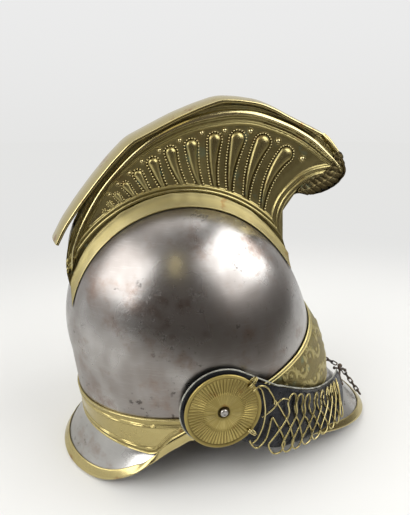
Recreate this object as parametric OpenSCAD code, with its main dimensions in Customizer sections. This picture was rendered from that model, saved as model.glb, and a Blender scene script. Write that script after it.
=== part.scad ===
// Crested heavy-cavalry helmet, standing on its neck guard and the tip of its visor.
// X points to the front, Y to the wearer's left, Z up. Origin: middle of the footprint.

/* [Skull] */
// Half length of the steel skull at its widest level
skull_half_length = 119; // [114:1:124]
// Half width of the steel skull at its widest level
skull_half_width = 98; // [94:1:102]
// Height of the crown above the table
crown_z = 240; // [234:1:248]
// Level at which the skull is widest
belt_z = 105; // [102:1:108]
// How far the crown lies behind the middle of the belt
crown_set_back = 12; // [8:1:16]
// Thickness of the steel plates
steel_t = 1; // [0.8:0.1:1.4]

/* [Bands] */
// Thickness of the brass sheet of the bands
band_t = 0.8; // [0.6:0.1:1.2]
// Height of a bead along the edge of a band
bead_h = 0.9; // [0.6:0.1:1.2]
// Level of the lower edge of the front band
rim_z = 50; // [47:1:53]
// Level of the upper edge of the front band beside the rosettes
front_band_side_z = 86; // [82:1:90]
// Extra height of the front band at the middle of the forehead
front_band_rise = 46; // [40:1:50]
// How far the foot of the front band flares forward
front_flare = 24; // [18:1:28]
// Level of the upper edge of the rear band at the very back
rear_band_top = 65.5; // [63:0.5:68]
// Level of the lower edge of the rear band at the very back
rear_band_bottom = 37.5; // [35:0.5:40]

/* [Visor and neck guard] */
// Reach of the visor's tip in front of the skull's centre
visor_reach = 192.2; // [184:0.1:198]
// Half width of the visor
visor_half_width = 92.5; // [89:0.5:96]
// Rise of the visor's edge toward the temples, per unit length
visor_slope = 0.25; // [0.22:0.01:0.28]
// Reach of the neck guard's edge behind the skull's centre
guard_reach = 133.3; // [128:0.1:138]
// Half width of the neck guard
guard_half_width = 100.5; // [99:0.5:103]
// Width of the brass trim on the edges
trim_w = 9; // [7:0.5:11]
// Thickness of the brass trim
trim_t = 0.8; // [0.6:0.1:1]

/* [Crest] */
// Half width of the crest between the outer faces of its side plates
crest_half_width = 21; // [19:0.5:23]
// Thickness of the crest's brass sheet
crest_t = 1.2; // [0.8:0.1:1.6]
// Half width of the cover plate on top
cover_half_width = 24; // [23:0.5:26]
// Crown of the cover plate, middle above edges
cover_crown = 4; // [2:0.5:6]
// Height of the feet that stand on the skull
foot_h = 8; // [6:0.5:10]
// Width of the feet on the skull
foot_w = 9; // [7:0.5:11]

/* [Rosettes] */
// Radius of a rosette
rosette_r = 32.6; // [30:0.1:34]
// Height of the rosettes' middle above the table
pivot_z = 81; // [78:1:84]
// Lean of a rosette's face toward the sky, in degrees
rosette_lean = 3.5; // [2:0.5:4]
// Radius of the screw through a rosette
screw_r = 2; // [1.6:0.1:2.6]
// Radius of the leather tab behind a rosette
tab_r = 35; // [34:0.5:36.5]

/* [Chin strap] */
// Thickness of the leather
leather_t = 2; // [1.6:0.1:2.4]
// Radius of the brass wire of the loops
wire_r = 0.8; // [0.6:0.05:0.9]
// Number of wire loops on one side
loop_count = 17; // [14:1:18]
// Width of a wire loop along the strap
loop_w = 17; // [14:1:19]
// Tilt of a wire loop off the strap's face, in degrees
loop_tilt = 22; // [21:1:26]
// Radius of the iron wire of the chain
chain_wire_r = 0.7; // [0.6:0.05:0.8]
// Play between two links of a chain
chain_play = 0.35; // [0.3:0.05:0.6]
// Width of a chain link, outside
chain_link_w = 5; // [4.8:0.1:6]

/* [Lining] */
// Depth of the sweatband
sweatband_h = 42; // [36:1:46]
// How far the sweatband's upper edge stands in from the skull
sweatband_in = 9; // [7:0.5:11]
// Number of leather tongues in the crown
tongue_count = 8; // [6:1:10]

/* [Hidden] */

// Colours
steel = [0.62, 0.60, 0.58];
brass = [0.66, 0.54, 0.24];
dark_brass = [0.48, 0.39, 0.17];
leather = [0.10, 0.11, 0.13];
piping = [0.72, 0.70, 0.60];
iron = [0.22, 0.20, 0.18];
lining = [0.35, 0.22, 0.12];

// Places and clearances
skull_x = -29.5;                     // centre of the skull's belt
skin_gap = 0.25;                     // between plates that lie on each other
seat_gap = 0.3;                      // between a moving piece and a fixed one
run_gap = 0.06;                      // between a screw and what turns on it
lap = 6;                             // overlap of visor and neck guard behind the bands
step = 5.625;                        // angle between two columns of the plates
guard_first = 21;                    // column at which the neck guard starts
edge_base = 1;                       // height of a plate's edge above the table
drawn_half_length = 119;             // sizes for which the outlines and stations below are given
drawn_half_width = 98;
drawn_reach = 192.2;
dome_h = crown_z - belt_z;
back_taper = 7;                      // how much the skull's back draws in below the belt
side_taper = 1;
low_span = 67;                       // height over which it does so

// Curves through a few points
function spline_at(p, i, f) =
    let (n = len(p) - 1, a = p[max(0, i - 1)], b = p[i], c = p[min(n, i + 1)], d = p[min(n, i + 2)])
    0.5 * (2 * b + (c - a) * f + (2 * a - 5 * b + 4 * c - d) * f * f + (3 * b - a - 3 * c + d) * f * f * f);
function spline(p, cuts) =
    [for (i = [0:len(p) - 2], k = [0:cuts - 1]) spline_at(p, i, k / cuts), p[len(p) - 1]];
function blend(low, high, v) = let (f = min(1, max(0, (v - low) / (high - low)))) f * f * (3 - 2 * f);
function mix(a, b, f) = a + (b - a) * f;
function unit(v) = v / norm(v);

// Solid between two grids of points, outer and inner, rows going up and columns turning left
module slab(outer, inner, wrap = false, cap = false) {
    rows = len(outer);
    cols = len(outer[0]);
    all = rows * cols;
    last = wrap ? cols - 1 : cols - 2;
    function o(i, j) = i * cols + j % cols;
    function q(i, j) = all + o(i, j);
    function quad(a, b, c, d) = [[a, b, c], [a, c, d]];
    skin = [for (i = [0:rows - 2], j = [0:last]) each concat(
        quad(o(i, j), o(i + 1, j), o(i + 1, j + 1), o(i, j + 1)),
        quad(q(i, j), q(i, j + 1), q(i + 1, j + 1), q(i + 1, j)))];
    low = [for (j = [0:last]) each quad(o(0, j), o(0, j + 1), q(0, j + 1), q(0, j))];
    high = cap
        ? [[for (j = [cols - 1:-1:0]) o(rows - 1, j)], [for (j = [0:cols - 1]) q(rows - 1, j)]]
        : [for (j = [0:last]) each
            quad(o(rows - 1, j + 1), o(rows - 1, j), q(rows - 1, j), q(rows - 1, j + 1))];
    ends = wrap ? [] : [for (i = [0:rows - 2]) each concat(
        quad(o(i + 1, 0), o(i, 0), q(i, 0), q(i + 1, 0)),
        quad(o(i, cols - 1), o(i + 1, cols - 1), q(i + 1, cols - 1), q(i, cols - 1)))];
    points = [for (r = outer) each r, for (r = inner) each r];
    polyhedron(points, concat(skin, low, high, ends), convexity = 8);
}

// Solid swept through a list of rings of points
module sweep(rings, loop = false) {
    k = len(rings[0]);
    n = len(rings);
    last = loop ? n - 1 : n - 2;
    function at(i, j) = (i % n) * k + j % k;
    sides = [for (i = [0:last], j = [0:k - 1]) each
        [[at(i, j), at(i, j + 1), at(i + 1, j + 1)], [at(i, j), at(i + 1, j + 1), at(i + 1, j)]]];
    caps = loop ? [] : [[for (j = [k - 1:-1:0]) at(0, j)], [for (j = [0:k - 1]) at(n - 1, j)]];
    polyhedron([for (r = rings) each r], concat(sides, caps), convexity = 8);
}

// Oval wire link, long axis on X, lying in the XY plane
module link(length, width, r) {
    bend = width / 2 - r;
    half = length / 2 - width / 2;
    difference() {
        union() {
            for (s = [-1, 1])
                translate([s * half, 0, 0]) rotate_extrude($fn = 32)
                    translate([bend, 0]) circle(r, $fn = 16);
        }
        translate([-half, -width, -width]) cube([2 * half, 2 * width, 2 * width]);
    }
    for (s = [-1, 1])
        translate([-half, s * bend, 0]) rotate([0, 90, 0]) cylinder(r = r, h = 2 * half, $fn = 16);
}

module mirror_y(on) {
    if (on) mirror([0, 1, 0]) children();
    else children();
}

// The skull's outer face: plan angle t from the front, height z
function rise(z) = min(1, (z - belt_z) / (dome_h - 14));
function centre_x(z) = z <= belt_z ? skull_x : skull_x - crown_set_back * (1 - pow(1 - rise(z), 2));
function shrink(z) = z <= belt_z ? 1 : sqrt(max(0, 1 - pow((z - belt_z) / dome_h, 2)));
function below(z) = max(0, belt_z - z) / low_span;
function front_top(t) = front_band_side_z
    + front_band_rise * max(0, 1 - pow(sqrt(t * t + 49) / 80, 1.15));
function turn(t) = abs(t) > 180 ? 360 - abs(t) : abs(t);
function flare(t, z) =
    let (top = front_top(turn(t)), q = min(1, max(0, (top - z) / (top - rim_z - 4))))
    turn(t) < 90 ? front_flare * (1 - pow(1 - q, 1.45)) * pow(max(0, cos(t)), 1.5) : 0;
function half_length(t, z) = skull_half_length * shrink(z) - (cos(t) < 0 ? back_taper * below(z) : 0);
function half_width(z) = skull_half_width * shrink(z) - side_taper * below(z);
function plan_normal(t) = unit([cos(t) / skull_half_length, sin(t) / skull_half_width, 0]);
function wall(t, z, off = 0) = plan_normal(t) * off
    + [centre_x(z) + half_length(t, z) * cos(t) + flare(t, z), half_width(z) * sin(t), z];
// Height of the skull above a point of the plan, by repeated substitution
function skull_z(x, y, off = 0, z = 150, n = 14) =
    n == 0 ? z
    : skull_z(x, y, off, belt_z + (dome_h + off) * sqrt(max(0, 1
        - pow((x - centre_x(z)) / (skull_half_length + off), 2)
        - pow(y / (skull_half_width + off), 2))), n - 1);

// Lines on the skull
guard_bend = 98;                     // where the guard's edge leaves the table, behind the skull's centre
guard_slope = 0.69;
bend_soft = 8;
function guard_rise(x) = guard_slope * bend_soft * ln(1 + exp((x - skull_x + guard_bend) / bend_soft));
function rear_top(t) = rear_band_top + 0.06 * (wall(t, belt_z)[0] - skull_x + skull_half_length);
function rear_line(t) = rear_band_bottom - 0.09 * (wall(t, rim_z)[0] - skull_x + skull_half_length);
function rim(t) = turn(t) < 90 ? rim_z
    : min(rim_z, max(rear_line(t), guard_rise(wall(t, rim_z)[0])));
function seam(t) = turn(t) < 90
    ? mix(front_top(turn(t)), rear_top(t), blend(78, 90, turn(t)))
    : rear_top(t);

tuck = 0.5;                          // how much the skull draws in behind the bands
module skull() {
    color(steel)
    difference() {
        shell = [for (inside = [0, 1]) [
            for (k = [0:7]) [for (t = [0:step:359.9])
                wall(t, mix(rim(t) + lap + skin_gap, seam(t), k / 8), -inside * steel_t - tuck)],
            for (k = [0:12]) [for (t = [0:step:359.9])
                let (s = (seam(t) - belt_z) / dome_h, low = s > 0 ? asin(s) : s * 180 / PI,
                    h = mix(low, 86.5, k / 12), z = belt_z + dome_h * (h > 0 ? sin(h) : h * PI / 180))
                wall(t, z, -inside * steel_t) - [0, 0, inside * steel_t * max(0, sin(h))]]]];
        slab(shell[0], shell[1], wrap = true, cap = true);
        for (s = [-1, 1])
            translate([skull_x, s * skull_half_width, pivot_z]) rotate([90, 0, 0])
                cylinder(r = screw_r + skin_gap, h = 20, center = true, $fn = 32);
        at_crest_bolts() cylinder(r = bolt_r + skin_gap, h = 20, center = true, $fn = 32);
    }
}

// Bands round the skull, with a bead along both edges
band_rows = [0, 0.05, 0.1, 0.3, 0.5, 0.7, 0.9, 0.95, 1];
band_bead = [0, 1, 0, 0, 0, 0, 0, 1, 0];
module band(angles, low, high) {
    face = [for (outside = [1, 0]) [for (i = [0:len(band_rows) - 1])
        let (off = skin_gap + outside * (band_t + bead_h * band_bead[i]))
        [for (t = angles) wall(t, mix(low(t), high(t), band_rows[i]), off)]]];
    slab(face[0], face[1]);
}
module front_band() {
    color(brass) band([for (k = [-15:15]) k * step], function(t) rim_z, function(t) front_top(turn(t)));
}
module rear_band() {
    low = function(t) rim(t) + (trim_w + 0.4) * (1 - blend(110, 122, turn(t)));
    color(brass) band([for (k = [17:47]) k * step], low, function(t) rear_top(t));
}

// Visor: a flange behind the front band, then a plate that runs out to the edge
visor_rows = [0, 0.12, 0.25, 0.4, 0.55, 0.7, 0.85, 1];
visor_ellipse = 145.1;               // half length of the visor's edge curve
function visor_edge(t) =
    let (e = t * 100 / 80,
         x = skull_x + visor_reach - visor_ellipse * (1 - cos(e)),
         free = [x, visor_half_width * sin(e), edge_base - visor_slope * (x - skull_x - visor_reach)],
         k = blend(62, 82, abs(t)))
    mix(free, wall(t, rim_z, skin_gap) - [0, 0, 8], k);
function visor_face(t, u) =
    let (w = wall(t, rim_z), e = visor_edge(t))
    [mix(w[0], e[0], u), mix(w[1], e[1], u), mix(w[2], e[2], pow(u, 0.92))];
function visor_up(t) =
    let (w = wall(t, rim_z), e = visor_edge(t), out = norm([e[0] - w[0], e[1] - w[1]]), drop = w[2] - e[2],
         side = plan_normal(t))
    unit([side[0] * drop, side[1] * drop, out]);
module visor() {
    cols = [for (k = [-15:15]) k * step];
    color(steel) slab(
        [for (i = [len(visor_rows) - 1:-1:0]) [for (t = cols) visor_face(t, visor_rows[i])],
         for (h = [lap / 2, lap]) [for (t = cols) wall(t, rim_z + h)]],
        [for (i = [len(visor_rows) - 1:-1:0]) [for (t = cols)
            visor_face(t, visor_rows[i]) - (i == 0 ? plan_normal(t) : visor_up(t)) * steel_t],
         for (h = [lap / 2, lap]) [for (t = cols) wall(t, rim_z + h, -steel_t)]]);
}

// Neck guard: the same, behind
guard_ellipse = 117.7;               // half length of the guard's edge curve
guard_rows = [0, 0.15, 0.32, 0.5, 0.7, 1];
function guard_edge(t) =
    let (q = turn(t), e = 180 - (180 - q) * 1.09, side = t > 180 ? -1 : 1,
         x = skull_x - guard_reach + guard_ellipse * (1 + cos(e)),
         free = [x, side * guard_half_width * sin(e), edge_base + guard_rise(x)])
    mix(wall(t, rim(t)) - [0, 0, 1], free, blend(110, 124, q));
function guard_face(t, u) =
    let (w = wall(t, rim(t)), e = guard_edge(t))
    [mix(w[0], e[0], pow(u, 1.15)), mix(w[1], e[1], pow(u, 1.15)), mix(w[2], e[2], u)];
function guard_up(t) =
    let (w = wall(t, rim(t)), e = guard_edge(t), out = norm([e[0] - w[0], e[1] - w[1]]),
         drop = w[2] - e[2], side = plan_normal(t))
    unit([side[0] * drop, side[1] * drop, out]);
module neck_guard() {
    cols = [for (k = [guard_first:64 - guard_first]) k * step];
    color(steel) slab(
        [for (i = [len(guard_rows) - 1:-1:0]) [for (t = cols) guard_face(t, guard_rows[i])],
         for (h = [lap / 2, lap]) [for (t = cols) wall(t, rim(t) + h)]],
        [for (i = [len(guard_rows) - 1:-1:0]) [for (t = cols)
            guard_face(t, guard_rows[i]) - (i == 0 ? plan_normal(t) : guard_up(t)) * steel_t],
         for (h = [lap / 2, lap]) [for (t = cols) wall(t, rim(t) + h, -steel_t)]]);
}

// Folded trim on an edge: at each station an edge point, the way inward over the plate and its normal
module trim(stations) {
    sweep([for (s = stations) let (e = s[0], inward = s[1], up = s[2], w = s[3],
            top = skin_gap, under = -steel_t - skin_gap, out = -skin_gap)
        [for (c = [[w, top + trim_t], [out - trim_t, top + trim_t * 0.7],
                   [out - trim_t, under - trim_t * 0.7], [w * 0.6, under - trim_t],
                   [w * 0.6, under], [out, under], [out, top], [w, top]])
            e + inward * c[0] + up * c[1]]]);
}
module above_table() {
    difference() {
        children();
        translate([-300, -300, -20]) cube([600, 600, 20]);
    }
}
function visor_station(t) =
    let (e = visor_edge(t), w = wall(t, rim_z), inward = unit(visor_face(t, 0.9) - e))
    [e, inward, visor_up(t), min(trim_w, 0.8 * norm(w - e))];
module visor_trim() {
    color(brass) above_table() trim([for (k = [-14:14]) visor_station(k * step)]);
}
function guard_station(t) =
    let (e = guard_edge(t), reach = norm(e - wall(t, rim(t))))
    turn(t) < guard_first * step
    ? [e, [0, 0, 1], plan_normal(t), trim_w]
    : [e, unit(guard_face(t, 0.7) - e), guard_up(t), min(trim_w, 0.4 * reach)];
module neck_guard_trim() {
    color(brass) above_table() trim([for (k = [18:46]) guard_station(k * step)]);
}

// Crest outline, seen from the side, measured from the crown for the drawn size of the skull
crest_x = skull_x - crown_set_back;
crest_scale = skull_half_length / drawn_half_length;
function crest(p) = [for (q = p) q * crest_scale + [crest_x, crown_z]];
crest_top = crest([[-105, -23], [-77, 16], [-45, 49], [-6.5, 68.5], [36, 81.5], [66, 80], [80.5, 75],
    [94.5, 68.5], [110.5, 61.5], [127, 54]]);
crest_nose = crest([[127, 54], [133.5, 48.5], [141, 40.5], [147.5, 32.5], [152, 24.5], [153.5, 18.5],
    [150, 12.5], [143, 6], [131, 1]]);
crest_front = crest([[131, 1], [120, -1], [107, 1], [98, -6.5], [93, -18], [92.5, -30], [95.5, -44],
    [101.5, -60]]);
crest_back = crest([[-102, -72], [-103.5, -62], [-103.5, -50], [-100, -34], [-97, -24], [-105, -23]]);
outline_cuts = 5;
function thicken(p, d) =
    let (n = len(p) - 1, back = [for (i = [n:-1:0])
        let (v = unit(p[min(n, i + 1)] - p[max(0, i - 1)])) p[i] + [v[1], -v[0]] * d])
    concat(p, back);
side_lift = 2.5;                     // height of the side plates' lower edge above the skull
function crest_foot_z(x) = skull_z(x, crest_half_width) + side_lift;
side_bottom = let (a = crest_back[0][0], b = crest_front[len(crest_front) - 1][0])
    [for (k = [1:23]) let (x = mix(b, a, k / 24)) [x, crest_foot_z(x)]];
// Low relief on a side plate's outer face: a roll along its upper edge and the main gadroons
embed = 0.5;                         // how deep the relief reaches into the plate
roll_h = 1.9;
// Along the roll: place in the crest's outline, reach outward and reach inward
roll_line = [for (q = [[-96.5, -36, 1, 1.8], [-87.5, -15.5, 1, 1.8], [-72, 9.5, 1, 1.9], [-53.9, 29.6, 1, 1.95],
    [-37.5, 44, 1.25, 2.4], [-19.3, 55.8, 1.5, 3], [4.5, 66, 2.2, 3.3], [29.5, 71.8, 2.9, 3.6], [49.5, 73.2, 2.7, 3.5],
    [69.2, 70.8, 2.5, 3.4], [94.2, 62.5, 2.3, 3.3], [109.5, 55.3, 2.2, 3.2], [121.2, 48.3, 2.1, 3.1]])
    concat(crest([[q[0], q[1]]])[0], [q[2], q[3]] * crest_scale)];
module crest_roll() {
    path = spline(roll_line, 2);
    last = len(path) - 1;
    sweep([for (i = [0:last])
        let (p = path[i], v = unit([for (k = [0, 1]) path[min(last, i + 1)][k] - path[max(0, i - 1)][k]]),
             n = [-v[1], v[0]])
        [for (c = [[p[2], -embed], [p[2], 0], [p[2] * 0.45, roll_h], [-p[3] * 0.45, roll_h], [-p[3], 0],
                   [-p[3], -embed]])
            [p[0] + n[0] * c[0], crest_half_width + c[1], p[1] + n[1] * c[0]]]]);
}
// Each gadroon from its head to its tail: place in the crest's outline and radius
gadroons = [for (g = [
    [[93.9, 35.9, 6.1], [82.7, 21.4, 3.2], [75.1, 1.7, 1.5]], [[71.3, 46.4, 6.3], [63.4, 29.4, 3.3], [58.4, 8.9, 1.5]],
    [[48.1, 49.8, 6], [44.2, 33.5, 3.2], [41.8, 15, 1.4]], [[27.4, 49.4, 5.2], [26.1, 34, 2.8], [27, 16.7, 1.4]],
    [[7, 44.8, 4.8], [8.5, 30.9, 2.7], [12.7, 15.7, 1.3]], [[-10.9, 39.5, 4.5], [-7.5, 26.8, 2.6], [-1.4, 13.2, 1.3]],
    [[-26.1, 31.2, 4.2], [-22.5, 21.3, 2.4], [-17.6, 10.5, 1.2]],
    [[-39.1, 21.9, 3.5], [-35.1, 14.4, 2], [-30.3, 6.3, 1]]])
    [for (q = g) concat(crest([[q[0], q[1]]])[0], [q[2] * crest_scale])]];
module boss(p) {
    translate([p[0], crest_half_width - embed, p[1]]) rotate([-90, 0, 0])
        cylinder(r1 = p[2], r2 = 0.45 * p[2], h = embed + min(1.4, 0.4 * p[2]), $fn = 12);
}
module crest_side() {
    outline = concat(spline(crest_top, outline_cuts), spline(crest_nose, outline_cuts),
        spline(crest_front, outline_cuts), side_bottom, spline(crest_back, outline_cuts));
    color(brass) {
        translate([0, crest_half_width, 0]) rotate([90, 0, 0]) linear_extrude(crest_t) polygon(outline);
        crest_roll();
        for (g = gadroons, i = [0, 1]) hull() {
            boss(g[i]);
            boss(g[i + 1]);
        }
    }
}
module crest_side_right() { mirror_y(true) crest_side(); }
module crest_side_left() { mirror_y(false) crest_side(); }

// Feet: angle strips that carry the side plates and lie on the skull
foot_gap = 0.5;                      // between a foot and the skull
module crest_foot() {
    a = crest_back[0][0] + 1;
    b = crest_front[len(crest_front) - 1][0] - 1;
    y = crest_half_width + skin_gap;
    color(brass) sweep([for (k = [0:28])
        let (x = mix(a, b, k / 28), low = skull_z(x, y + 1, foot_gap),
             half = skull_z(x, y + foot_w / 2, foot_gap), far = skull_z(x, y + foot_w, foot_gap))
        [[x, y, low + foot_h], [x, y + crest_t, low + foot_h], [x, y + crest_t, low + 1.4 * crest_t],
         [x, y + foot_w / 2, half + crest_t], [x, y + foot_w, far + crest_t * 0.8], [x, y + foot_w, far],
         [x, y + foot_w / 2, half + 0.1], [x, y, low + 0.2]]]);
}
module crest_foot_right() { mirror_y(true) crest_foot(); }
module crest_foot_left() { mirror_y(false) crest_foot(); }

// Cover plate over the crest, crowned across, with rolled edges and a tail at the back
cover_seat = 0.4;                    // how far the cover's edges lie below the tops of the sides
cover_path = concat(crest([[-110.6, -34.4]]),
    [for (p = crest_top) p - [0, cover_seat]]);
cover_t = 1;
roll = 2.4;
module crest_cover() {
    path = spline(cover_path, outline_cuts);
    last = len(path) - 1;
    w = cover_half_width;
    crown = [for (k = [4:-1:-4]) [k / 4 * (w - 0.4), cover_crown * (1 - pow(k / 4, 2))]];
    face = [concat([[w + 0.2, -roll], [w + 0.9, -roll * 0.5], [w + 0.6, 0.3]],
                [for (p = crown) p + [0, cover_t]],
                [[-0.6 - w, 0.3], [-0.9 - w, -roll * 0.5], [-0.2 - w, -roll]]),
            concat([[w - 0.8, -roll], [w - 0.8, -roll * 0.6], [w - 0.8, -0.6]], crown,
                [[0.8 - w, -0.6], [0.8 - w, -roll * 0.6], [0.8 - w, -roll]])];
    grids = [for (ring = face) [for (i = [0:last])
        let (v = unit(path[min(last, i + 1)] - path[max(0, i - 1)]), n = [-v[1], v[0]])
        [for (c = ring) [path[i][0] + n[0] * c[1], c[0], path[i][1] + n[1] * c[1]]]]];
    color(brass) slab(grids[0], grids[1]);
}

// Plates that close the crest's back and front between its sides, and the cap on its nose
between = crest_half_width - crest_t - seat_gap;
plate_t = 1;
plate_cuts = 4;
module strip(path, t, half) {
    translate([0, half, 0]) rotate([90, 0, 0]) linear_extrude(2 * half) polygon(thicken(path, t));
}
module crest_back_plate() {
    line = crest([[-102.3, -68], [-103.3, -58], [-103, -48], [-100, -34], [-97, -25]]);
    color(brass) strip(spline(line, plate_cuts), plate_t, between);
}
module crest_front_plate() {
    line = crest([[119, -2.2], [107, 0], [98.5, -7], [93.6, -18], [93, -30], [95.2, -41]]);
    color(brass) strip(spline(line, plate_cuts), plate_t, between);
}
mask_t = 1.5;
mask_seat = 0.4;                     // between the cap and the edges of the side plates
mask_bulge = 8;                      // how far the cap's middle stands out
module crest_mask() {
    start = mix(crest_nose[0], crest_nose[1], 0.4);
    under = [for (i = [1:len(crest_nose) - 1]) crest_nose[i]];
    path = spline(concat([start], under, [crest_front[1]]), plate_cuts);
    last = len(path) - 1;
    half = crest_half_width + 1.5;
    sheets = [for (t = [mask_t, 0]) [for (i = [last:-1:0])
        let (v = unit(path[min(last, i + 1)] - path[max(0, i - 1)]), n = [-v[1], v[0]])
        [for (k = [-4:4])
            let (swell = mask_bulge * sin(180 * i / last) * (1 - pow(k / 4, 2)),
                 q = path[i] + n * (mask_seat + t + swell))
            [q[0], half * k / 4, q[1]]]]];
    color(dark_brass) slab(sheets[0], sheets[1]);
}

// Cross bars inside the crest, with the bolts that draw it down on the skull
bolt_r = 2.5;
bolt_spread = 22;
bar_z = 9;
module at_crest_bolts() {
    for (s = [-1, 1]) {
        x = crest_x + s * bolt_spread;
        slope = atan((skull_z(x + 1, 0) - skull_z(x - 1, 0)) / 2);
        translate([x, 0, skull_z(x, 0)]) rotate([0, -slope, 0]) children();
    }
}
module crest_brackets() {
    color(brass) at_crest_bolts() difference() {
        translate([-6, -between, bar_z]) cube([12, 2 * between, 1.5]);
        translate([0, 0, bar_z - 1]) cylinder(r = bolt_r + 0.1, h = 4, $fn = 32);
    }
}
module crest_bolts() {
    color(iron) at_crest_bolts() {
        translate([0, 0, -8]) cylinder(r = bolt_r, h = bar_z + 1.6 + 8, $fn = 32);
        translate([0, 0, bar_z + 1.6]) cylinder(r = bolt_r + 2.2, h = 3, $fn = 32);
    }
}
module crest_nuts() {
    color(iron) at_crest_bolts() difference() {
        translate([0, 0, -steel_t - 4]) cylinder(r = bolt_r + 2.8, h = 3.4, $fn = 6);
        translate([0, 0, -9]) cylinder(r = bolt_r + run_gap, h = 12, $fn = 32);
    }
}

// Rosettes: pressed discs that turn with the chin strap on a screw through the skull
bead_face = skin_gap + band_t + bead_h;
tab_y = skull_half_width + bead_face + seat_gap;
rosette_y = tab_y + leather_t + seat_gap + rosette_r * sin(rosette_lean) + 1;
hole_angle = 43;
hole_at = rosette_r - 3;
hole_r = 1.6;
face_t = 1;
module on_rosette() {
    translate([skull_x, -rosette_y, pivot_z]) rotate([90 - rosette_lean, 0, 0]) children();
}
module along_screw(y, h) {
    translate([skull_x, -y, pivot_z]) rotate([90, 0, 0]) cylinder(h = h, r = screw_r + run_gap, $fn = 48);
}
module rosette() {
    r = rosette_r;
    outside = [[0, 2.2], [7, 2.6], [16, 2.3], [r - 7, 1.6], [r - 4, 1.7], [r - 2.4, 2.7], [r - 0.9, 2.5],
        [r, 1.4], [r, -0.2]];
    inside = [[r - face_t, -0.2], [r - face_t - 0.4, 1.3], [r - 2.4, 1.6], [r - 4, 0.7], [r - 7, 0.6],
        [16, 1.3], [7, 1.6], [0, 1.2]];
    color(brass) difference() {
        on_rosette() rotate_extrude($fn = 96) polygon(concat(outside, inside));
        along_screw(rosette_y - 6, 16);
        on_rosette() for (s = [-1, 1]) rotate([0, 0, s * hole_angle]) translate([hole_at, 0, -4])
            cylinder(r = hole_r, h = 10, $fn = 24);
    }
}
module rosette_right() { mirror_y(false) rosette(); }
module rosette_left() { mirror_y(true) rosette(); }

head_y = rosette_y + 3.1;
module rosette_screw() {
    color(steel) {
        translate([skull_x, -skull_half_width + 6, pivot_z]) rotate([90, 0, 0])
            cylinder(r = screw_r, h = head_y - skull_half_width + 6.5, $fn = 48);
        translate([skull_x, -head_y, pivot_z]) rotate([90, 0, 0]) rotate_extrude($fn = 48)
            polygon(concat([[0, 0]], [for (a = [0:10:90]) [3.9 * cos(a), 2.4 * sin(a)]]));
    }
}
module rosette_screw_right() { mirror_y(false) rosette_screw(); }
module rosette_screw_left() { mirror_y(true) rosette_screw(); }
module rosette_nut() {
    color(iron) difference() {
        translate([skull_x, -skull_half_width + steel_t + 3.9, pivot_z]) rotate([90, 0, 0])
            cylinder(r = 4.6, h = 3, $fn = 6);
        along_screw(skull_half_width - 8, 9);
    }
}
module rosette_nut_right() { mirror_y(false) rosette_nut(); }
module rosette_nut_left() { mirror_y(true) rosette_nut(); }

// Rings through the two holes of a rosette
ring_r = 3;
ring_wire = 0.5;
module rosette_links() {
    color(brass) on_rosette() for (s = [-1, 1]) rotate([0, 0, s * hole_angle])
        translate([hole_at + 2.3, 0, 1.9]) rotate([90, 0, 0]) rotate_extrude($fn = 40)
            translate([ring_r, 0]) circle(ring_wire, $fn = 16);
}
module rosette_links_right() { mirror_y(false) rosette_links(); }
module rosette_links_left() { mirror_y(true) rosette_links(); }

// Chin strap: upper and lower edge of the leather, right side, from the rosette to the front
strap_top = [[-22, -101.25, 106], [-4, -101.25, 101.5], [22, -99.8, 91], [48, -91, 78], [70, -75, 65],
    [90, -57.5, 55], [108, -40, 47.5], [122, -24, 42], [132, -11, 38]];
strap_low = [[-22, -101.25, 52], [-2, -101.25, 40], [20, -102.4, 32], [45, -96.5, 29], [65, -89.5, 28],
    [84, -81.5, 27.5], [102, -69, 27.5], [116, -52.5, 28], [127, -32, 30]];
strap_cuts = 4;
left_stations = 6;
right_stations = 8;
strap_stretch = max(skull_half_length / drawn_half_length, visor_reach / drawn_reach);
function forward(p) = [skull_x + (p[0] - skull_x) * strap_stretch, p[1], p[2]];
function strap_station(p, i) =
    let (wider = skull_half_width - drawn_half_width, near = min(1, max(0, (3 - i) / 2)),
         share = wider > 0 ? max(near, -p[1] / drawn_half_width) : near)
    forward(p - [0, wider * share, 0]);
function strap_side(p, n) = spline([for (i = [0:n]) strap_station(p[i], i)], strap_cuts);
function strap_ends(n) = [strap_side(strap_top, n), strap_side(strap_low, n)];
function strap_out(e, i) =
    let (n = len(e[0]) - 1, a = max(0, i - 1), b = min(n, i + 1),
         m = e[0][b] + e[1][b] - e[0][a] - e[1][a])
    unit(cross(e[0][i] - e[1][i], m)) * -1;
module strap(n) {
    e = strap_ends(n);
    color(leather) difference() {
        union() {
            sweep([for (i = [0:len(e[0]) - 1]) let (o = strap_out(e, i) * leather_t / 2)
                [e[0][i] + o, e[0][i] - o, e[1][i] - o, e[1][i] + o]]);
            translate([skull_x, -tab_y, pivot_z]) rotate([90, 0, 0])
                cylinder(r = tab_r, h = leather_t, $fn = 96);
        }
        along_screw(tab_y - 3, leather_t + 6);
    }
}
module strap_right() { mirror_y(false) strap(right_stations); }
module strap_left() { mirror_y(true) strap(left_stations); }

// Pale piping along the strap's upper edge
piping_r = 1.3;
function tube_ring(c, along, r, sides) =
    let (u = unit(cross(along, [0, 0.13, 1])), v = unit(cross(along, u)))
    [for (k = [0:sides - 1]) c + (u * cos(360 * k / sides) - v * sin(360 * k / sides)) * r];
module strap_piping(n) {
    e = strap_ends(n);
    first = 7;                       // station at which the edge leaves the round tab
    last = len(e[0]) - 1;
    mid = [for (i = [first:last]) e[0][i] + unit(e[0][i] - e[1][i]) * (piping_r + 2 * seat_gap)];
    m = len(mid) - 1;
    color(piping) sweep([for (i = [0:m])
        tube_ring(mid[i], mid[min(m, i + 1)] - mid[max(0, i - 1)], piping_r, 8)]);
}
module strap_piping_right() { mirror_y(false) strap_piping(right_stations); }
module strap_piping_left() { mirror_y(true) strap_piping(left_stations); }

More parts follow.
